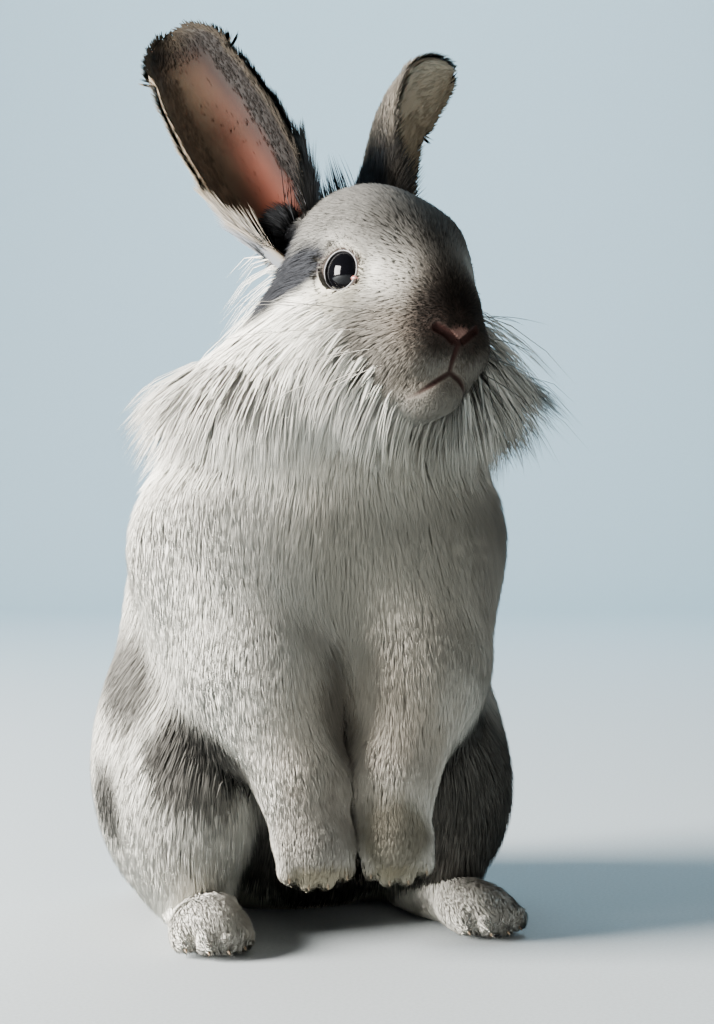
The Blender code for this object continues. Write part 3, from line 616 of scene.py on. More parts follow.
HEAD_PATCHES = [
    patch("#514f4b", (0, -10, 22), (32, 41, 25), soft=0.7, strength=0.95),
    *both("#232427", (28, 3, 5), (14, 18, 11), soft=0.6),
    *both("#26272a", (23, 20, 15), (13, 14, 12), soft=0.5),
    patch("#38393b", (0, 30, 24), (25, 14, 16), soft=0.6),
    # Painted light, partly pale grey fur: the crest between the ears is lightened where the near ear shades
    # it
    patch("#a9adb0", (0, 32, 32), (9, 12, 9), soft=0.6),
    *both("#aba594", (23, -19, -3), (8, 9, 11), soft=0.8, strength=0.85),
    # Painted shade, partly brown-grey fur: the whisker pads are darkened as in the cheeks' shade
    *both("#38322b", (17, -32, -21), (15, 15, 18), soft=0.9, strength=0.92),
    patch("#4f473e", (0, -40, -12), (18, 14, 21), soft=1.0, strength=0.9),
    patch("#2f2924", (0, -43, -9), (13, 10, 12), soft=0.9, strength=0.85),
    patch("#1c1714", (0, -44, -15), (15, 9, 11), soft=0.8, strength=0.9),
    # Painted shade, partly brown-grey fur: the chin and mouth are darkened as in the shade under the head
    patch("#4a443b", (0, -36, -36), (17, 14, 9), soft=0.9, strength=0.8),
    patch("#a07a6f", (0, -46, -17.5), (3.2, 3, 2.2), soft=0.8, strength=0.75),
    patch("#303235", (0, 44, 14), (26, 12, 16), soft=0.7, strength=0.6),
    patch("#544c44", EYE_PLACES[-1], (10.4, 10.4, 10.4), soft=0.2, strength=0.8),
    patch("#544c44", EYE_PLACES[1], (10.4, 10.4, 10.4), soft=0.2, strength=0.8),
]


def waves(points, size, seed):
    """Smooth noise between -1 and 1 with features of about the given size, from crossed waves."""
    draw = random.Random(seed)
    total = np.zeros(len(points))
    for _ in range(5):
        way = unit(np.array([draw.gauss(0, 1) for _ in range(3)]))
        other = unit(np.array([draw.gauss(0, 1) for _ in range(3)]))
        pace = 2 * math.pi / (size * draw.uniform(0.7, 1.5))
        total += np.sin(points @ way * pace + draw.uniform(0, 6) + 1.3 * np.sin(points @ other * pace * 0.8))
    return total / 5


def painted(colours, points, patches, ragged):
    for spot in patches:
        local = (points - spot.centre) @ turn_matrix(spot.turn)
        reach = np.linalg.norm(local / spot.radii, axis=1) + ragged
        share = np.clip((1 + 0.5 * spot.soft - reach) / spot.soft, 0, 1)
        share = (share * share * (3 - 2 * share) * spot.strength)[:, None]
        colours = colours * (1 - share) + spot.colour * share
    return colours


def markings_and_painted_light(points):
    """Linear colour of the coat at each place, with its painted shade and painted light."""
    ragged = 0.10 * waves(points, 24, 1) + 0.10 * waves(points, 9, 2) + 0.05 * waves(points, 4, 3)
    colours = np.tile(CREAM, (len(points), 1))
    colours = painted(colours, points, BODY_PATCHES, ragged)
    local = in_head(points)
    on_head = np.clip((11 - gap_to_head(local)) / 6, 0, 1)[:, None]
    face = painted(np.tile(CREAM, (len(points), 1)), local, HEAD_PATCHES, 0.45 * ragged)
    return colours * (1 - on_head) + face * on_head


def add_colours(mesh, colours):
    layer = mesh.color_attributes.new("coat_colour", "FLOAT_COLOR", "POINT")
    layer.data.foreach_set("color", np.c_[colours, np.ones(len(colours))].astype(np.float32).ravel())


# %% Colour the skin
skin_points = points_of(skin.data)
skin_gap, skin_shares = coat_field(skin_points)
flesh_pink, groove_painted_shade = linear("#c9a08f"), linear("#2c1a17")
skin_colours = 0.92 * markings_and_painted_light(skin_points) + 0.02 * flesh_pink
groove_gap = gap_to_grooves(in_head(skin_points))
# Painted shade: the nostrils and the mouth line are darkened inside their grooves
inside = np.clip((0.45 - groove_gap) / 0.4, 0, 1)[:, None]
skin_colours = skin_colours * (1 - inside) + groove_painted_shade * inside
add_colours(skin.data, skin_colours)
clock("skin colours")


# %% [markdown]
# ## Materials
# One small function adds a node with its settings and links. Fur is guard hair over down: rough, with a
# little sheen, and its colour is darker at each tuft's root and lighter at the tip, as painted shade among
# the hairs. Single tufts are wider than real hairs, so their shading leans towards the normal of the skin
# below, which gives the soft look of many hairs together.

# %% Material helpers and fur
def node(tree, kind, links=(), **settings):
    """Adds a node: its settings by name, and links from its sockets to values or other sockets."""
    made = tree.nodes.new(kind)
    for name, value in settings.items():
        setattr(made, name, value)
    for socket, value in dict(links).items():
        if isinstance(value, bpy.types.NodeSocket):
            tree.links.new(value, made.inputs[socket])
        else:
            made.inputs[socket].default_value = value
    return made


def material(name):
    made = bpy.data.materials.new(name)
    made.use_nodes = True
    tree = made.node_tree
    return made, tree, tree.nodes["Principled BSDF"]


def plain(name, hex_colour, roughness, **sockets):
    """A material of one base colour with slight mottling at one millimetre."""
    made, tree, shader = material(name)
    places = node(tree, "ShaderNodeTexCoord")
    noise = node(tree, "ShaderNodeTexNoise", {"Vector": places.outputs["Object"], "Scale": 900.0})
    base = linear(hex_colour)
    mix = node(
        tree,
        "ShaderNodeMix",
        {"Factor": noise.outputs["Fac"], 6: (*(base * 0.85), 1), 7: (*(base * 1.15), 1)},
        data_type="RGBA",
    )
    tree.links.new(mix.outputs[2], shader.inputs["Base Color"])
    shader.inputs["Roughness"].default_value = roughness
    for socket, value in sockets.items():
        shader.inputs[socket.replace("_", " ")].default_value = value
    return made


def fur_material(name, softness):
    """Guard hair: colour from the coat, shading softened towards the skin's normal."""
    made, tree, shader = material(name)
    colour = node(tree, "ShaderNodeAttribute", attribute_name="coat_colour")
    tree.links.new(colour.outputs["Color"], shader.inputs["Base Color"])
    lie = node(tree, "ShaderNodeAttribute", attribute_name="skin_normal")
    shape = node(tree, "ShaderNodeNewGeometry")
    mix = node(
        tree,
        "ShaderNodeMix",
        {"Factor": softness, 4: shape.outputs["Normal"], 5: lie.outputs["Vector"]},
        data_type="VECTOR",
    )
    tree.links.new(mix.outputs[1], shader.inputs["Normal"])
    shader.inputs["Roughness"].default_value = 0.85
    shader.inputs["Specular IOR Level"].default_value = 0.1
    shader.inputs["Sheen Weight"].default_value = 0.03
    shader.inputs["Sheen Roughness"].default_value = 0.5
    return made


def skin_material():
    """Skin and undercoat: the coat's colour, a little darker, with down as bump at 0.6 mm."""
    made, tree, shader = material("undercoat_on_skin")
    colour = node(tree, "ShaderNodeAttribute", attribute_name="coat_colour")
    tree.links.new(colour.outputs["Color"], shader.inputs["Base Color"])
    places = node(tree, "ShaderNodeTexCoord")
    down = {"Vector": places.outputs["Object"], "Scale": 1600.0, "Detail": 3.0}
    noise = node(tree, "ShaderNodeTexNoise", down)
    bump = node(tree, "ShaderNodeBump", {"Strength": 0.5, "Distance": 0.0004, "Height": noise.outputs["Fac"]})
    tree.links.new(bump.outputs["Normal"], shader.inputs["Normal"])
    shader.inputs["Roughness"].default_value = 0.8
    shader.inputs["Specular IOR Level"].default_value = 0.1
    return made


FUR = fur_material("guard_hair", 0.94)
skin.data.materials.append(skin_material())


# %% [markdown]
# ## How a tuft is made
# A tuft is a thin, tapered blade of three sides that follows a bent line over the skin. Thousands of
# them differ only in their numbers, so their lines are worked out together as arrays and joined into
# one mesh for each part of the body. The export drops particle hair, and this mesh it keeps.

# %% Roots, lines and meshes of tufts
Roots = namedtuple("Roots", "places normals shares")
# The least height of a tuft over the floor in mm, and the size of a tuft's patch in the unwrap
FLOOR_CLEAR, UV_PATCH = 0.5, 0.003


def roots_on(obj, point_shares, keep, spacing, draw):
    """Even random places on an object's faces, so many millimetres apart."""
    mesh = obj.data
    mesh.calc_loop_triangles()
    corners = np.empty(len(mesh.loop_triangles) * 3, int)
    mesh.loop_triangles.foreach_get("vertices", corners)
    corners = corners.reshape(-1, 3)
    places = points_of(mesh)
    normals = np.empty(len(places) * 3)
    mesh.vertices.foreach_get("normal", normals)
    normals = normals.reshape(-1, 3)
    a, b, c = (places[corners[:, i]] for i in range(3))
    area = 0.5 * np.linalg.norm(np.cross(b - a, c - a), axis=1)
    wanted = area * (keep / spacing**2)[corners].mean(axis=1)
    count = np.floor(wanted + draw.random(len(wanted))).astype(int)
    chosen = np.repeat(np.arange(len(count)), count)
    mix = draw.random((len(chosen), 2))
    over = mix.sum(axis=1) > 1
    mix[over] = 1 - mix[over]
    weights = np.c_[1 - mix.sum(axis=1), mix]
    corner_ids = corners[chosen]

    def blended(values):
        return np.einsum("ij,ijk->ik", weights, values[corner_ids])

    return Roots(blended(places), unit(blended(normals)), blended(point_shares))


def lines_over_skin(roots, ways, lengths, heights, steps, droop, loose, sunk=0.8):
    """Bent lines that keep their heights over the skin; loose ones only stay outside it."""
    points = roots.places - sunk * roots.normals
    lines = [points]
    for i in range(1, steps + 1):
        share = i / steps
        ways = unit(ways + (droop / steps)[:, None] * np.array((0, 0, -1)))
        points = points + ways * (lengths / steps)[:, None]
        miss = heights * share**0.7 - gap_to_skin(points)
        miss = np.where(loose, np.maximum(miss, 0), miss)
        points = points + roots.normals * np.clip(miss, -4, 4)[:, None]
        points[:, 2] = np.maximum(points[:, 2], FLOOR_CLEAR)
        lines.append(points)
    return np.stack(lines, axis=1)


def nearest_of(targets, places):
    """For each place, the number of the target nearest to it."""
    tree = KDTree(len(targets))
    for i, target in enumerate(targets):
        tree.insert(target, i)
    tree.balance()
    return np.array([tree.find(place)[1] for place in places])


def clumped(lines, every, pull, draw, reach):
    """Lines whose tips lean together in small locks."""
    count = len(lines)
    leaders = draw.permutation(count)[: max(1, count // every)]
    nearest = nearest_of(lines[leaders, 0], lines[:, 0])
    far = lines[leaders[nearest], 0] - lines[:, 0]
    near_enough = np.clip(1.5 - np.linalg.norm(far, axis=1) / reach, 0, 1)
    lean = lines[leaders[nearest]] - lines
    share = np.linspace(0, 1, lines.shape[1]) ** 1.6
    return lines + lean * (pull * near_enough)[:, None, None] * share[None, :, None]


def box_unwrap(places, normals):
    """Each place's point on the six sides of a box laid out in a square."""
    side = np.abs(normals).argmax(axis=1)
    sign = normals[np.arange(len(normals)), side] > 0
    kept = np.array(((1, 2), (0, 2), (0, 1)))[side]
    flat = np.take_along_axis(places, kept, axis=1)
    cell = np.stack([side, sign], axis=1)
    return (cell + 0.04 + 0.92 * (flat - BOX_LOW[kept]) / BOX_SIZE) * np.array((1 / 3, 1 / 2))


def tuft_mesh(name, lines, normals, widths, thickness, colours, tip_painted_light=1.0, root_painted_shade=0.94, surface=FUR):
    """Joins blades along all the lines into one object."""
    count, knots = lines.shape[:2]
    rings = knots - 2
    shares = np.arange(1, rings + 1) / (knots - 1)
    profile = 1.25 * (1 - shares**2.4) ** 0.9
    points = 3 * rings + 2
    corners = np.empty((count, points, 3))
    for i in range(rings):
        here = lines[:, i + 1]
        ahead = unit(lines[:, i + 2] - lines[:, i])
        across = unit(np.cross(ahead, normals))
        out = np.cross(across, ahead)
        half = (0.5 * profile[i] * widths)[:, None]
        corners[:, 3 * i] = here - half * across
        corners[:, 3 * i + 1] = here + half * across
        corners[:, 3 * i + 2] = here + 2 * thickness * half * out
    root, tip = points - 2, points - 1
    corners[:, root] = lines[:, 0]
    corners[:, tip] = lines[:, -1]
    faces = [(root, (j + 1) % 3, j) for j in range(3)]
    for i in range(rings - 1):
        for j in range(3):
            k = (j + 1) % 3
            faces.append((3 * i + j, 3 * i + k, 3 * i + 3 + k, 3 * i + 3 + j))
    last = 3 * (rings - 1)
    faces += [(last + j, last + (j + 1) % 3, tip) for j in range(3)]
    sizes = np.array([len(face) for face in faces])
    loop_template = np.concatenate(faces)
    offsets = (np.arange(count) * points)[:, None]
    loops = (loop_template[None] + offsets).ravel()
    starts = np.concatenate([[0], np.cumsum(np.tile(sizes, count))[:-1]])
    mesh = bpy.data.meshes.new(name)
    mesh.vertices.add(count * points)
    mesh.vertices.foreach_set("co", ((corners + SHIFT) * MM).ravel())
    mesh.loops.add(len(loops))
    mesh.loops.foreach_set("vertex_index", loops)
    mesh.polygons.add(len(starts))
    mesh.polygons.foreach_set("loop_start", starts)
    mesh.polygons.foreach_set("use_smooth", np.ones(len(starts), bool))
    mesh.update(calc_edges=True)
    # Painted shade: each blade is darker at its root, where the hairs shade each other, and lighter towards
    # its tip
    along = np.concatenate([np.repeat(shares, 3), (0.0, 1.0)])
    shade = root_painted_shade + (tip_painted_light - root_painted_shade) * np.minimum(along * 1.5, 1)
    add_colours(mesh, (colours[:, None, :] * shade[None, :, None]).reshape(-1, 3))
    soft = mesh.attributes.new("skin_normal", "FLOAT_VECTOR", "POINT")
    soft.data.foreach_set("vector", np.repeat(normals, points, axis=0).astype(np.float32).ravel())
    across_patch = np.append(np.tile((-0.5, 0.5, 0.0), rings), (0.0, 0.0))
    template = np.stack([across_patch, along - 0.5], axis=1) * UV_PATCH
    spots = box_unwrap(lines[:, 0], normals)[:, None, :] + template[None]
    layer = mesh.uv_layers.new(name="OFBake")
    layer.data.foreach_set("uv", spots.reshape(-1, 2)[loops].astype(np.float32).ravel())
    mesh.materials.append(surface)
    return linked(name, mesh)


# A box that holds the roots of all the tufts
BOX_LOW = skin_points.min(axis=0) - 12
BOX_SIZE = (skin_points.max(axis=0) + 12 - BOX_LOW).max()


# %% [markdown]
# ## The lie of the coat
# Fur runs from the nose back over the skull, down the neck and chest, back over the haunches, and
# down each limb to the toes. Each region has its way, and a slow wave turns it a little here and
# there, as on a live animal that has just moved.

# %% The way of the fur
FLOWS = np.array([COATS[name].flow for name in NAMES], float)


def way_of_fur(roots, draw):
    ways = roots.shares @ FLOWS
    ways[:, 0] += 0.004 * roots.places[:, 0] * roots.shares[:, 0]
    local = in_head(roots.places)
    back = local - np.array((0, -46, -12))
    back = unit(back) + np.array((0, 0.75, -0.1))
    back[:, 2] -= 0.5 * np.clip((-14 - local[:, 2]) / 12, 0, 1)
    ways += (unit(back) @ HEAD_AXES.T) * roots.shares[:, -1:]
    for side in (-1, 1):
        away = local - EYE_PLACES[side]
        near = np.clip((11.5 - np.linalg.norm(away, axis=1)) / 3, 0, 1)[:, None]
        ways = ways * (1 - near) + 1.5 * near * (unit(away) @ HEAD_AXES.T) + 0.25 * near * ways
    ways = ways - (ways * roots.normals).sum(axis=1, keepdims=True) * roots.normals
    ways = unit(ways)
    sideways = np.cross(roots.normals, ways)
    swing = 0.22 * waves(roots.places, 38, 5) + 0.12 * waves(roots.places, 13, 6)
    swing = swing + draw.normal(0, 0.10, len(ways))
    return unit(ways * np.cos(swing)[:, None] + sideways * np.sin(swing)[:, None])


def of_regions(shares, field):
    return shares @ np.array([getattr(COATS[name], field) for name in NAMES])


# %% Which tufts grow where
# The clear space between a tuft and a groove of the face, and a tuft's thickness as a share of its width
TUFT_CLEAR, COAT_THICKNESS = 0.25, 0.22
draw = np.random.default_rng(11)
spacing = of_regions(skin_shares, "spacing")
local_skin = in_head(skin_points)
keep = np.ones(len(skin_points))
keep[groove_gap < 0.5] = 0
for side in (-1, 1):
    on_eye = (local_skin - EYE_PLACES[side]) @ eye_axes(side)
    opening = np.hypot(on_eye[:, 0] / LID_WIDE, on_eye[:, 1] / LID_HIGH)
    keep[(opening < 1.18) & (on_eye[:, 2] > 0) & (on_eye[:, 2] < EYE_REACH)] = 0
    eye_near = np.clip((17 - np.linalg.norm(local_skin - EYE_PLACES[side], axis=1)) / 5, 0, 1)
    spacing = spacing * (1 - 0.35 * eye_near)
keep[skin_points[:, 2] < 1.5] = 0.1
roots = roots_on(skin, skin_shares, keep, spacing, draw)
print(len(roots.places), "tufts on the body and head")
ways = way_of_fur(roots, draw)
depths = coat_depth(roots.places, roots.shares)
lengths = of_regions(roots.shares, "length") * draw.uniform(0.75, 1.15, len(ways))
face_gap = np.clip((in_head(roots.places)[:, 1] + 46) / 60, 0, 1)
lengths *= 1 - roots.shares[:, -1] * (1 - (0.32 + 0.9 * face_gap))
local_roots = in_head(roots.places)
eye_gap = gap_to_eyes(local_roots)
lengths *= np.clip((eye_gap - EYE_RADIUS + 1.5) / 9, 0.18, 1)
nose_gap = gap_to_grooves(local_roots)
lengths *= np.clip(0.25 + nose_gap / 11, 0.25, 1)
lengths = np.minimum(lengths, depths * 4.2 + 0.8)
heights = np.minimum(depths * draw.uniform(0.7, 1.05, len(ways)), 0.42 * lengths)
droop = np.full(len(ways), 0.15)
lines = lines_over_skin(roots, ways, lengths, heights, 2, droop, np.zeros(len(ways), bool))
lines = clumped(lines, every=8, pull=0.18, draw=draw, reach=5.0)
colours = markings_and_painted_light(roots.places + roots.normals * 2)
# Dark fur has lighter and darker hairs side by side
darkness = np.clip((0.2 - colours.mean(axis=1)) / 0.15, 0, 1)
even, mixed = draw.uniform(0.93, 1.05, len(ways)), draw.uniform(0.6, 1.9, len(ways))
colours *= (even * (1 - darkness) + mixed * darkness)[:, None]
widths = of_regions(roots.shares, "width") * draw.uniform(0.8, 1.2, len(ways))
widths *= np.clip((eye_gap - 2) / 14, 0.5, 1)
crossing = np.min([gap_to_grooves(in_head(lines[:, i])) for i in range(lines.shape[1])], axis=0) < TUFT_CLEAR
clock("coat lines")


# %% Join the tufts into pieces
region_of = roots.shares.argmax(axis=1)
side_of = np.where(roots.places[:, 0] > 3, "left", "right")
GROUPS = {
    "chest": ["trunk"],
    "back": [],
    "neck": ["neck"],
    "haunches": ["haunch", "tail"],
    "feet": ["foot", "hind_toes"],
    "arms": ["upper_arm", "forearm", "paw", "fore_toes"],
    "head": ["head"],
}
coats = []
for group, names in GROUPS.items():
    of_group = np.isin(region_of, [NAMES.index(name) for name in names])
    if group in ("chest", "back"):
        front = roots.places[:, 1] < 8
        of_group = (region_of == NAMES.index("trunk")) & (front if group == "chest" else ~front)
    for side in ("left", "right"):
        chosen = of_group & (side_of == side) & ~crossing
        if chosen.any():
            made = tuft_mesh(
                f"coat_{group}_{side}",
                lines[chosen],
                roots.normals[chosen],
                widths[chosen],
                COAT_THICKNESS,
                colours[chosen],
            )
            coats.append(made)
            print(made.name, triangles_of(made), "triangles")
clock("coat")


# %% [markdown]
# ## The mane
# The ruff is what names a lionhead: long, fine, slightly wavy wool in locks that overlap down the
# neck and stand out at the sides. Long loose lines start from the neck and the jaw, fall under their
# weight, and lean together in locks.

# %% Grow the mane
MANE_FOOT, MANE_SPACING, WING_FOOT, CREST_FOOT, FINE_WOOL_FOOT = 148, 0.95, 150, 196, 190
MANE_MIDDLE, HALF_LINE = np.array((8, -24, 165)), 8
neck_share = skin_shares[:, NAMES.index("neck")]
behind_jaw = np.clip((local_skin[:, 1] + 14) / 14, 0, 1) * np.clip((-6 - local_skin[:, 2]) / 12, 0, 1)
mane_keep = np.clip(neck_share * 1.3 + skin_shares[:, -1] * behind_jaw, 0, 1)
mane_keep[skin_points[:, 2] < MANE_FOOT] = 0
mane_keep[mane_keep < 0.15] = 0
# No wool grows on the slate fur behind the eyes, on the face or on the brow, but some on the crest
either_side = np.c_[np.abs(local_skin[:, 0]), local_skin[:, 1:]]
slate_share = np.clip(1.5 - np.linalg.norm((either_side - (28, 6, 8)) / (13, 13, 12), axis=1), 0, 1)
mane_keep *= 1 - slate_share
mane_keep[(local_skin[:, 2] > -5) & (local_skin[:, 1] < 13)] = 0
mane_keep[(local_skin[:, 2] > 9) & (local_skin[:, 1] < 34)] = 0
crest_share = np.clip(1.6 - np.linalg.norm((local_skin - (0, 27, 26)) / (9, 8, 9), axis=1), 0, 1)
mane_keep = np.maximum(mane_keep, 0.8 * crest_share)
mane_roots = roots_on(skin, skin_shares, mane_keep, np.full(len(skin_points), MANE_SPACING), draw)
count = len(mane_roots.places)
spoke = unit((mane_roots.places - MANE_MIDDLE) * (1, 1, 0.3))
sideness = np.abs(spoke[:, 0] * 0.96 - spoke[:, 1] * 0.28)
leftness = np.maximum(spoke[:, 0], 0)
fall = way_of_fur(mane_roots, draw)
lift = 0.16 + 0.26 * sideness + 0.22 * leftness * np.clip((mane_roots.places[:, 2] - WING_FOOT) / 20, 0, 1)
crest = np.clip((mane_roots.places[:, 2] - CREST_FOOT) / 8, 0, 1) * mane_roots.shares[:, -1]
lift = lift * (1 - crest) + 0.5 * crest + draw.normal(0, 0.05, count)
mane_ways = unit(lift[:, None] * mane_roots.normals + (1 - lift)[:, None] * fall)
crest_ways = mane_ways * 0.35 + np.array((-0.1, 0, 1.0))
mane_ways = unit(mane_ways * (1 - crest)[:, None] + crest_ways * crest[:, None])
mane_lengths = (24 + 13 * sideness - 7 * leftness) * draw.uniform(0.75, 1.15, count)
mane_lengths *= 0.55 + 0.45 * np.clip((mane_roots.places[:, 2] - MANE_FOOT) / 24, 0, 1)
# A few strands stand out further at the animal's left
stray = (draw.random(count) < 0.07) * leftness * np.clip((mane_roots.places[:, 2] - WING_FOOT) / 20, 0, 1)
mane_lengths *= 1 + 0.42 * stray
mane_lengths = mane_lengths * (1 - crest) + 19 * draw.uniform(0.6, 1.1, count) * crest
mane_lines = lines_over_skin(
    mane_roots, mane_ways, mane_lengths, np.full(count, 4.5), 3, 0.9 * (1 - crest), np.ones(count, bool), 1.5
)
mane_lines = clumped(mane_lines, every=16, pull=0.45, draw=draw, reach=8.0)
behind = (1 - crest)[:, None] * np.array((0, 9, -9))
mane_colours = markings_and_painted_light(mane_roots.places + mane_roots.normals * 2 + behind)
mane_colours *= draw.uniform(0.95, 1.04, count)[:, None]
fineness = np.where(mane_roots.places[:, 2] > FINE_WOOL_FOOT, 0.65, 1)
mane_widths = 0.5 * draw.uniform(0.7, 1.2, count) * fineness
# Broad, flat locks of wool lie under the strands and fill the gaps between them
under = (draw.random(count) < 0.05) & (mane_roots.places[:, 2] < FINE_WOOL_FOOT)
mane_widths[under] = draw.uniform(1.8, 3.0, under.sum())
mane_lines[under] = mane_lines[under, :1] + 0.75 * (mane_lines[under] - mane_lines[under, :1])
for side in ("left", "right"):
    chosen = (mane_roots.places[:, 0] > HALF_LINE) == (side == "left")
    made = tuft_mesh(
        f"mane_{side}",
        mane_lines[chosen],
        mane_roots.normals[chosen],
        mane_widths[chosen],
        0.3,
        mane_colours[chosen],
        tip_painted_light=1.04,
        root_painted_shade=0.96,
    )
    coats.append(made)
    print(made.name, triangles_of(made), "triangles")
clock("mane")


# %% [markdown]
# ## Eyes and lids
# A rabbit's eye is large, almost black, and wet. The ball has a slight bulge for the cornea, and a
# clear coat gives the window its sharp reflection. A dark rim and a grey-brown lid are spun round it.

# %% Eyes
WET = {"Specular_IOR_Level": 0.12, "Coat_Weight": 0.2, "Coat_Roughness": 0.02, "Coat_IOR": 1.34}
EYE_MATERIAL = plain("wet_dark_eye", "#050507", 0.08, **WET)
RIM_MATERIAL = plain("dark_lid_edge", "#15100f", 0.35)
LID_MATERIAL = plain("grey_brown_lid", "#3b332e", 0.8, Specular_IOR_Level=0.1)
CANTHUS_MATERIAL = plain("pink_corner_of_the_eye", "#94564d", 0.3)


def spun_ring(name, side, radius, bead, out, surface):
    """A soft bead spun round the eye's line."""
    bm = bmesh.new()
    bmesh.ops.create_circle(bm, segments=10, radius=bead, matrix=Matrix.Rotation(math.pi / 2, 4, "X"))
    bmesh.ops.translate(bm, verts=bm.verts, vec=(radius, 0, out))
    bmesh.ops.spin(
        bm,
        geom=bm.verts[:] + bm.edges[:],
        axis=(0, 0, 1),
        cent=(0, 0, 0),
        steps=48,
        angle=2 * math.pi,
        use_merge=True,
    )
    bmesh.ops.remove_doubles(bm, verts=bm.verts, dist=0.001)
    bmesh.ops.recalc_face_normals(bm, faces=bm.faces)
    bmesh.ops.scale(bm, vec=(LID_WIDE / LID_HIGH, 1, 1), verts=bm.verts)
    bm.transform(eye_frame(side))
    made = object_of(name, bm)
    made.data.materials.append(surface)
    return made


face_pieces = []
for side, word in ((-1, "right"), (1, "left")):
    bm = bmesh.new()
    bmesh.ops.create_uvsphere(bm, u_segments=48, v_segments=32, radius=EYE_RADIUS)
    for vert in bm.verts:
        bulge = max(0.0, vert.co.z / EYE_RADIUS - 0.62)
        vert.co *= 1 + 0.12 * bulge * bulge
    bm.transform(eye_frame(side))
    ball = object_of(f"eyeball_{word}", bm)
    ball.data.materials.append(EYE_MATERIAL)
    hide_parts(f"eye_{word}")
    rim = spun_ring(f"lid_rim_{word}", side, radius=5.85, bead=0.45, out=6.75, surface=RIM_MATERIAL)
    lid = spun_ring(f"lid_{word}", side, radius=6.4, bead=0.55, out=6.6, surface=LID_MATERIAL)
    bm = bmesh.new()
    bmesh.ops.create_icosphere(bm, subdivisions=3, radius=1)
    bmesh.ops.scale(bm, vec=(1.5, 0.8, 0.7), verts=bm.verts)
    bmesh.ops.translate(bm, verts=bm.verts, vec=(-side * 5.2, -2.6, 6.6))
    bm.transform(eye_frame(side))
    corner = object_of(f"eye_corner_{word}", bm)
    corner.data.materials.append(CANTHUS_MATERIAL)
    face_pieces += [ball, rim, lid, corner]
clock("eyes")


# %% [markdown]
# ## Ears
# Each ear is a cupped leaf whose root closes into a tube. The near one stands up and turns its cup to
# the side, the far one has its tip folded. The grid is bent along the ear's line and given its wall.

# %% Ear shapes
EAR_LENGTH, EAR_HALF, EAR_SUNK, EAR_BASE = 89, 20, 20, (13, 34, 21)
EAR_POINTS = {"right": (-0.15, 0.58, 0.80), "left": (0.46, 0.42, 0.78)}
EAR_OPENS = {"right": (-0.54, -0.84, 0.1), "left": (0.67, -0.71, 0.0)}
EAR_CURL = {"right": 10, "left": -75}
EAR_WALL, EAR_TUFTS = 1.6, 15000
# Share of the length, half width as a share of the widest, half curl of the cup in degrees
EAR_STATIONS = np.array(
    [
        (0.0, 0.80, 145),
        (0.14, 1.00, 104),
        (0.3, 1.08, 80),
        (0.5, 1.02, 68),
        (0.7, 0.90, 60),
        (0.85, 0.68, 48),
        (0.95, 0.42, 40),
        (1.0, 0.20, 38),
    ]
)


def ear_sheet(word, share, across, out):
    """Places on an ear's sheet: share along it, -1 to 1 across it, and millimetres out of its back."""
    sign = -1 if word == "right" else 1
    along = unit(np.array(EAR_POINTS[word]))
    opens = np.array(EAR_OPENS[word])
    opens = unit(opens - along * (opens @ along))
    sideways = np.cross(along, opens)
    steps = 60
    line = np.array(EAR_BASE, float) * (sign, 1, 1) - along * EAR_SUNK
    spine, turns = [], []
    for i in range(steps + 1):
        bend = math.radians(EAR_CURL[word]) * max(0.0, (i / steps - 0.5) / 0.5) ** 2
        spine.append(line)
        turns.append(opens * math.cos(bend) + along * math.sin(bend))
        line = line + (along * math.cos(bend) - opens * math.sin(bend)) * ((EAR_LENGTH + EAR_SUNK) / steps)
    knots = np.linspace(0, 1, steps + 1)
    middle = np.stack([np.interp(share, knots, np.array(spine)[:, i]) for i in range(3)], axis=1)
    turn = unit(np.stack([np.interp(share, knots, np.array(turns)[:, i]) for i in range(3)], axis=1))
    half = EAR_HALF * np.interp(share, EAR_STATIONS[:, 0], EAR_STATIONS[:, 1])
    rounded = EAR_HALF * 0.96 * np.sqrt(np.maximum(1 - ((share - 0.62) / 0.385) ** 2, 0.02))
    half = np.where(share > 0.8, rounded, half)
    curl = np.radians(np.interp(share, EAR_STATIONS[:, 0], EAR_STATIONS[:, 2]))
    angle = across * curl
    radius = (half / curl)[:, None]
    sine, cosine = np.sin(angle)[:, None], np.cos(angle)[:, None]
    place = middle + sideways * radius * sine + turn * radius * (1 - cosine)
    place = place + (sideways * sine - turn * cosine) * np.asarray(out).reshape(-1, 1)
    return out_of_head(place)


def ear_skin(word):
    bm = bmesh.new()
    columns, rows = 28, 44
    bmesh.ops.create_grid(bm, x_segments=columns, y_segments=rows, size=0.5)
    grid = np.array([vert.co for vert in bm.verts])
    places = ear_sheet(word, grid[:, 1] + 0.5, 2 * grid[:, 0], np.zeros(len(grid)))
    for vert, place in zip(bm.verts, places):
        vert.co = place
    bmesh.ops.recalc_face_normals(bm, faces=bm.faces)
    made = object_of(f"ear_skin_{word}", bm)
    wall = made.modifiers.new("Wall", "SOLIDIFY")
    wall.thickness = EAR_WALL * MM
    wall.offset = 0
    applied(made)
    made.data.polygons.foreach_set("use_smooth", [True] * len(made.data.polygons))
    return made


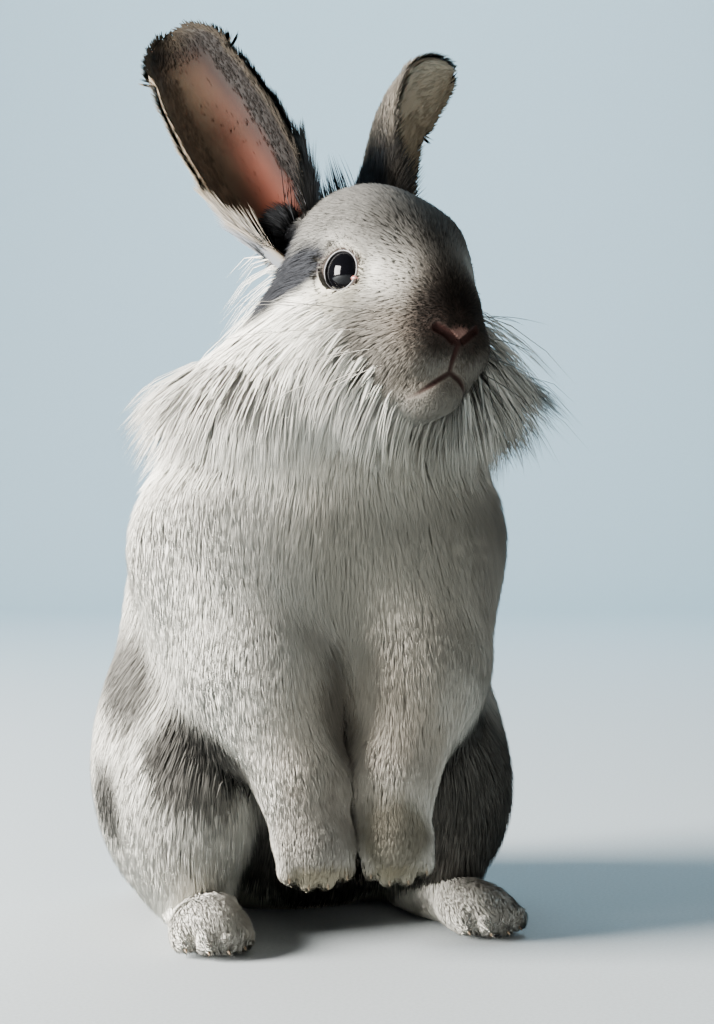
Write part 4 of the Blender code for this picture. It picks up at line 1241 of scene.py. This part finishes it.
def ear_colours(word, share, across, inner):
    """Bare pink strip down the middle inside, taupe margins, grey-brown back with a tan edge. The margins
    carry painted light and shade: on the near ear they are dark where they turn to the key light, lighter
    where they turn from it and dark at the tip, and on the far ear they are lightened. The near ear's low
    back is lightened as painted light.
    """
    sign = 1 if word == "right" else -1
    points = np.stack([share * 60, across * 20, np.zeros_like(share)], axis=1)
    ragged = 0.15 * waves(points, 14, 8) + 0.08 * waves(points, 5, 9)
    from_key_margin, to_key_margin = ("#84705c", "#110d0a") if word == "right" else ("#a89a84", "#c2b39c")
    # Painted light and shade: the margins' colour follows how they turn to the key light
    key_facing = np.clip(0.7 + 0.9 * across * sign, 0, 1)[:, None]
    taupe = linear(from_key_margin) * (1 - key_facing) + linear(to_key_margin) * key_facing
    # Painted shade: the inside near the near ear's tip is darkened where the key light strikes it
    top = np.clip((share - 0.72) / 0.18, 0, 1)[:, None] * (1 if word == "right" else 0)
    taupe = taupe * (1 - 0.9 * top) + linear("#120e0b") * 0.9 * top
    pink, red = linear("#45291f"), linear("#86493a")
    back, edge = linear("#968d80"), linear("#857862")
    strip = np.clip(1.25 - np.abs(across - 0.05 * sign) / (0.36 + 0.08 * share) + ragged, 0, 1)
    strip = strip * np.clip((0.92 - share) / 0.35, 0, 1) * 0.85
    low = np.clip((0.55 - share) / 0.4, 0, 1)
    warm = pink * (1 - low[:, None]) + red * low[:, None]
    inside = taupe * (1 - strip[:, None]) + warm * strip[:, None]
    # The tan edge fades on margins turned to the key light, as painted shade
    rim = np.clip((np.maximum(np.abs(across), share - 0.03) - 0.88) / 0.1, 0, 1)[:, None] * (1 - 0.7 * key_facing)
    slate = np.clip(((0.34 if word == "right" else 0.55) - share) / 0.2, 0, 1)[:, None]
    # Painted light: the near ear's low back is a paler grey than the far ear's, where it lies in shade
    low_back = linear("#6a6c6f" if word == "right" else "#303133")
    outside = (back * (1 - slate) + low_back * slate) * (1 + 0.6 * ragged[:, None])
    if word == "left":
        base = np.clip((0.5 - share) / 0.15, 0, 1)[:, None]
        inside = inside * (1 - base) + linear("#2b2b2c") * base
    inside = inside * (1 - 0.3 * rim) + edge * 0.3 * rim
    outside = outside * (1 - 0.6 * rim) + edge * 0.6 * rim
    return np.where(inner[:, None], inside, outside)


EAR_MATERIAL, ear_tree, ear_shader = material("thin_ear_skin")
ear_tint = node(ear_tree, "ShaderNodeAttribute", attribute_name="coat_colour")
ear_tree.links.new(ear_tint.outputs["Color"], ear_shader.inputs["Base Color"])
ear_shader.inputs["Roughness"].default_value = 0.7
ear_shader.inputs["Specular IOR Level"].default_value = 0.12
ear_shader.inputs["Subsurface Weight"].default_value = 0.15
ear_shader.inputs["Subsurface Radius"].default_value = (0.003, 0.001, 0.0006)

for word in ("right", "left"):
    made = ear_skin(word)
    places = points_of(made.data)
    shares, acrosses = np.meshgrid(np.linspace(0, 1, 89), np.linspace(-1, 1, 57), indexing="ij")
    shares, acrosses = shares.ravel(), acrosses.ravel()
    sheet = ear_sheet(word, shares, acrosses, np.zeros(len(shares)))
    backs = ear_sheet(word, shares, acrosses, np.ones(len(shares))) - sheet
    nearest = nearest_of(sheet, places)
    inner = ((places - sheet[nearest]) * backs[nearest]).sum(axis=1) < 0
    add_colours(made.data, ear_colours(word, shares[nearest], acrosses[nearest], inner))
    made.data.materials.append(EAR_MATERIAL)
    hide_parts(f"ear_{word}")
    face_pieces.append(made)

    count = EAR_TUFTS
    share = draw.uniform(0.05, 1.0, count)
    across = draw.uniform(-1, 1, count)
    inner = draw.random(count) < 0.38
    strip = np.abs(across) < 0.40 + 0.1 * share
    skip = inner & strip & (share < 0.85) & (draw.random(count) < 0.96)
    fringe = draw.random(count) < 0.22
    across = np.where(fringe, np.sign(across) * draw.uniform(0.93, 1.0, count), across)
    share, across, inner, fringe = (values[~skip] for values in (share, across, inner, fringe))
    sign = np.where(inner, -1.0, 1.0)
    base = ear_sheet(word, share, across, sign * EAR_WALL / 2)
    ahead = unit(base - ear_sheet(word, share - 0.01, across, sign * EAR_WALL / 2))
    out = unit(ear_sheet(word, share, across, sign * 1.8) - base)
    rimward = unit(ear_sheet(word, share, across + 0.02 * np.sign(across), sign * EAR_WALL / 2) - base)
    lean = np.where(fringe, 0.55, 0.12) * draw.uniform(0.6, 1.4, len(share))
    ways = unit(ahead + lean[:, None] * rimward + (0.2 * draw.uniform(0.5, 1.5, len(share)))[:, None] * out)
    length = np.where(fringe, 7 - 3.5 * share, 5.5 - 2 * share) * draw.uniform(0.7, 1.2, len(share))
    length = np.where(inner & ~fringe, length * 0.8, length)
    length = length + np.where(inner, 0, 9 * np.clip((0.36 - share) / 0.2, 0, 1))
    front_rim = fringe & (across * (1 if word == "right" else -1) > 0) & (share < 0.5)
    length = np.where(front_rim, length * 1.3, length)
    steps = np.linspace(0, 1, 3)[None, :, None]
    lines = base[:, None] + ways[:, None] * (length[:, None, None] * steps) - 0.4 * out[:, None] * (1 - steps)
    lines = lines - out[:, None] * (0.06 * length)[:, None, None] * steps**2
    tints = ear_colours(word, share, across, inner) * draw.uniform(0.85, 1.12, len(share))[:, None]
    widths = draw.uniform(0.35, 0.6, len(share))
    made = tuft_mesh(f"coat_ear_{word}", lines, out, widths, 0.3, tints, tip_painted_light=1.05, root_painted_shade=0.9)
    coats.append(made)
    print(made.name, triangles_of(made), "triangles")
clock("ears")


# %% [markdown]
# ## Claws and whiskers
# Claws are short horn cones that end just clear of the fur. Whiskers are stiff tapered hairs, drawn a little
# thicker than the real 0.1 mm so that they show.

# %% Claws
def claw(bm, place, way, length):
    before = set(bm.verts)
    turn = Vector(way).to_track_quat("Z", "Y").to_matrix().to_4x4()
    bmesh.ops.create_cone(bm, cap_ends=True, segments=10, radius1=1.0, radius2=0.15, depth=length)
    new = [vert for vert in bm.verts if vert not in before]
    bmesh.ops.transform(bm, matrix=Matrix.Translation(place) @ turn, verts=new)


bm = bmesh.new()
for side in (-1, 1):
    for out, reach in FORE_TOE_PLACES:
        claw(bm, (side * (11.8 + 1.15 * out) + PAW_SHIFT, -72.0, reach - 1.0), (0, -0.35, -1), 3.4)
    for out, reach in HIND_TOE_PLACES:
        claw(bm, (side * (42 + 1.1 * out), reach - 2.6, 3.2), (0, -1, -0.3), 5)
claws = object_of("claws", bm)
claws.data.materials.append(plain("claw_horn", "#8a775f", 0.35))

# %% Whiskers
whisker_roots, whisker_ways = [], []
for side in (-1, 1):
    for row in range(4):
        for column in range(4):
            start = (side * 4.0, -30 + 2.4 * column, -14 - 3.0 * row)
            whisker_roots.append(start)
            whisker_ways.append((side, 0.10 + 0.16 * column, 0.22 - 0.16 * row))
whisker_roots = np.array(whisker_roots, float)
whisker_ways = unit(np.array(whisker_ways))
whisker_reach = reach_of(gap_to_head, whisker_roots, whisker_ways, longest=40, step=0.5)
starts = out_of_head(whisker_roots + (whisker_reach - 1.5)[:, None] * whisker_ways)
ways = whisker_ways @ HEAD_AXES.T
length = draw.uniform(22, 34, len(ways))
lines = [starts]
for i in range(7):
    ways = unit(ways + np.array((0, 0, -0.05)) + draw.normal(0, 0.012, ways.shape))
    lines.append(lines[-1] + ways * (length / 7)[:, None])
whisker_colours = np.tile(linear("#cfc9be"), (len(starts), 1))
up = unit(np.cross(ways, np.cross((0, 0, 1.0), ways)))
whisker_widths = np.full(len(ways), 0.32)
whiskers = tuft_mesh("whiskers", np.stack(lines, axis=1), up, whisker_widths, 0.5, whisker_colours)
coats.append(whiskers)
clock("claws and whiskers")


# %% [markdown]
# ## Ride, floor, light and camera
# The model is still, so every piece rides on its one body. A pale floor runs up into a backdrop. The
# key light stands at the camera's left, like the window in the room, with a weak fill, and one more
# lamp tints the backdrop.

# %% Ride on the CAD
FLESH = [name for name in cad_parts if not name.startswith(("ear", "eye"))]
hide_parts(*FLESH)
for piece in (skin, claws, *coats, *face_pieces):
    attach(piece, "root")
total = sum(triangles_of(piece) for piece in (skin, claws, *coats, *face_pieces))
print("triangles in all:", total)

# %% Floor, light and camera
AIM = math.radians(-17)
SENSOR_MM, FOCAL_PIXELS, PHOTO_PIXELS = 36, 1900, 1024
bm = bmesh.new()
bmesh.ops.create_grid(bm, x_segments=2, y_segments=2, size=3)
far_edge = [edge for edge in bm.edges if all(vert.co.y > 2.9 for vert in edge.verts)]
raised = bmesh.ops.extrude_edge_only(bm, edges=far_edge)["geom"]
bmesh.ops.translate(bm, verts=[g for g in raised if isinstance(g, bmesh.types.BMVert)], vec=(0, 0, 4))
at_corner = {vert for vert in bm.verts if abs(vert.co.y - 3) < 0.01 and vert.co.z < 0.1}
corner = [edge for edge in bm.edges if at_corner.issuperset(edge.verts)]
bmesh.ops.bevel(bm, geom=corner, offset=1.2, segments=12, profile=0.5, affect="EDGES", material=-1)
bmesh.ops.rotate(bm, verts=bm.verts, cent=(0, 0, 0), matrix=Matrix.Rotation(AIM, 3, "Z"))
mesh = bpy.data.meshes.new("floor")
bm.to_mesh(mesh)
bm.free()
mesh.polygons.foreach_set("use_smooth", [True] * len(mesh.polygons))
floor = linked("floor", mesh)
floor.data.materials.append(plain("pale_studio_paper", "#b2b9bb", 0.9))

RIGHT = Vector((math.cos(AIM), math.sin(AIM), 0))
AHEAD = Vector((-math.sin(AIM), math.cos(AIM), 0))
SHIFT_M = Vector(SHIFT) * MM


def area_light(name, right, ahead, up, size, power, colour, target=(0, 0, 0.15)):
    light = bpy.data.lights.new(name, "AREA")
    light.size = size
    light.energy = power
    light.color = colour
    made = linked(name, light)
    made.location = RIGHT * right + AHEAD * ahead + Vector((0, 0, up))
    aim = Vector(target) - made.location
    made.rotation_euler = aim.to_track_quat("-Z", "Y").to_euler()


area_light("key", -1.4, -0.38, 0.5, 0.75, 205, (1.0, 0.97, 0.93))
area_light("fill", 0.5, -1.5, 0.9, 1.4, 3.5, (1.0, 0.97, 0.93))
area_light("back", 0.5, 1.0, 1.3, 0.8, 4, (0.95, 0.98, 1.0))
area_light("backdrop", 0.0, 1.2, 2.2, 1.6, 115, (0.44, 0.78, 1.0), (0.7, 3.0, 0.7))
world = bpy.data.worlds.new("soft_room")
world.use_nodes = True
world.node_tree.nodes["Background"].inputs["Color"].default_value = (0.80, 0.82, 0.82, 1)
world.node_tree.nodes["Background"].inputs["Strength"].default_value = 0.12
bpy.context.scene.world = world

camera_data = bpy.data.cameras.new("camera")
camera_data.sensor_width = SENSOR_MM
camera_data.lens = SENSOR_MM * FOCAL_PIXELS / PHOTO_PIXELS
camera = linked("camera", camera_data)
camera.location = RIGHT * 0.0182 - AHEAD * 0.608 + Vector((0, 0, 0.126)) + SHIFT_M
camera.rotation_euler = (math.radians(90), 0, AIM)
bpy.context.scene.camera = camera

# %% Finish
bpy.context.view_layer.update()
clock("all")
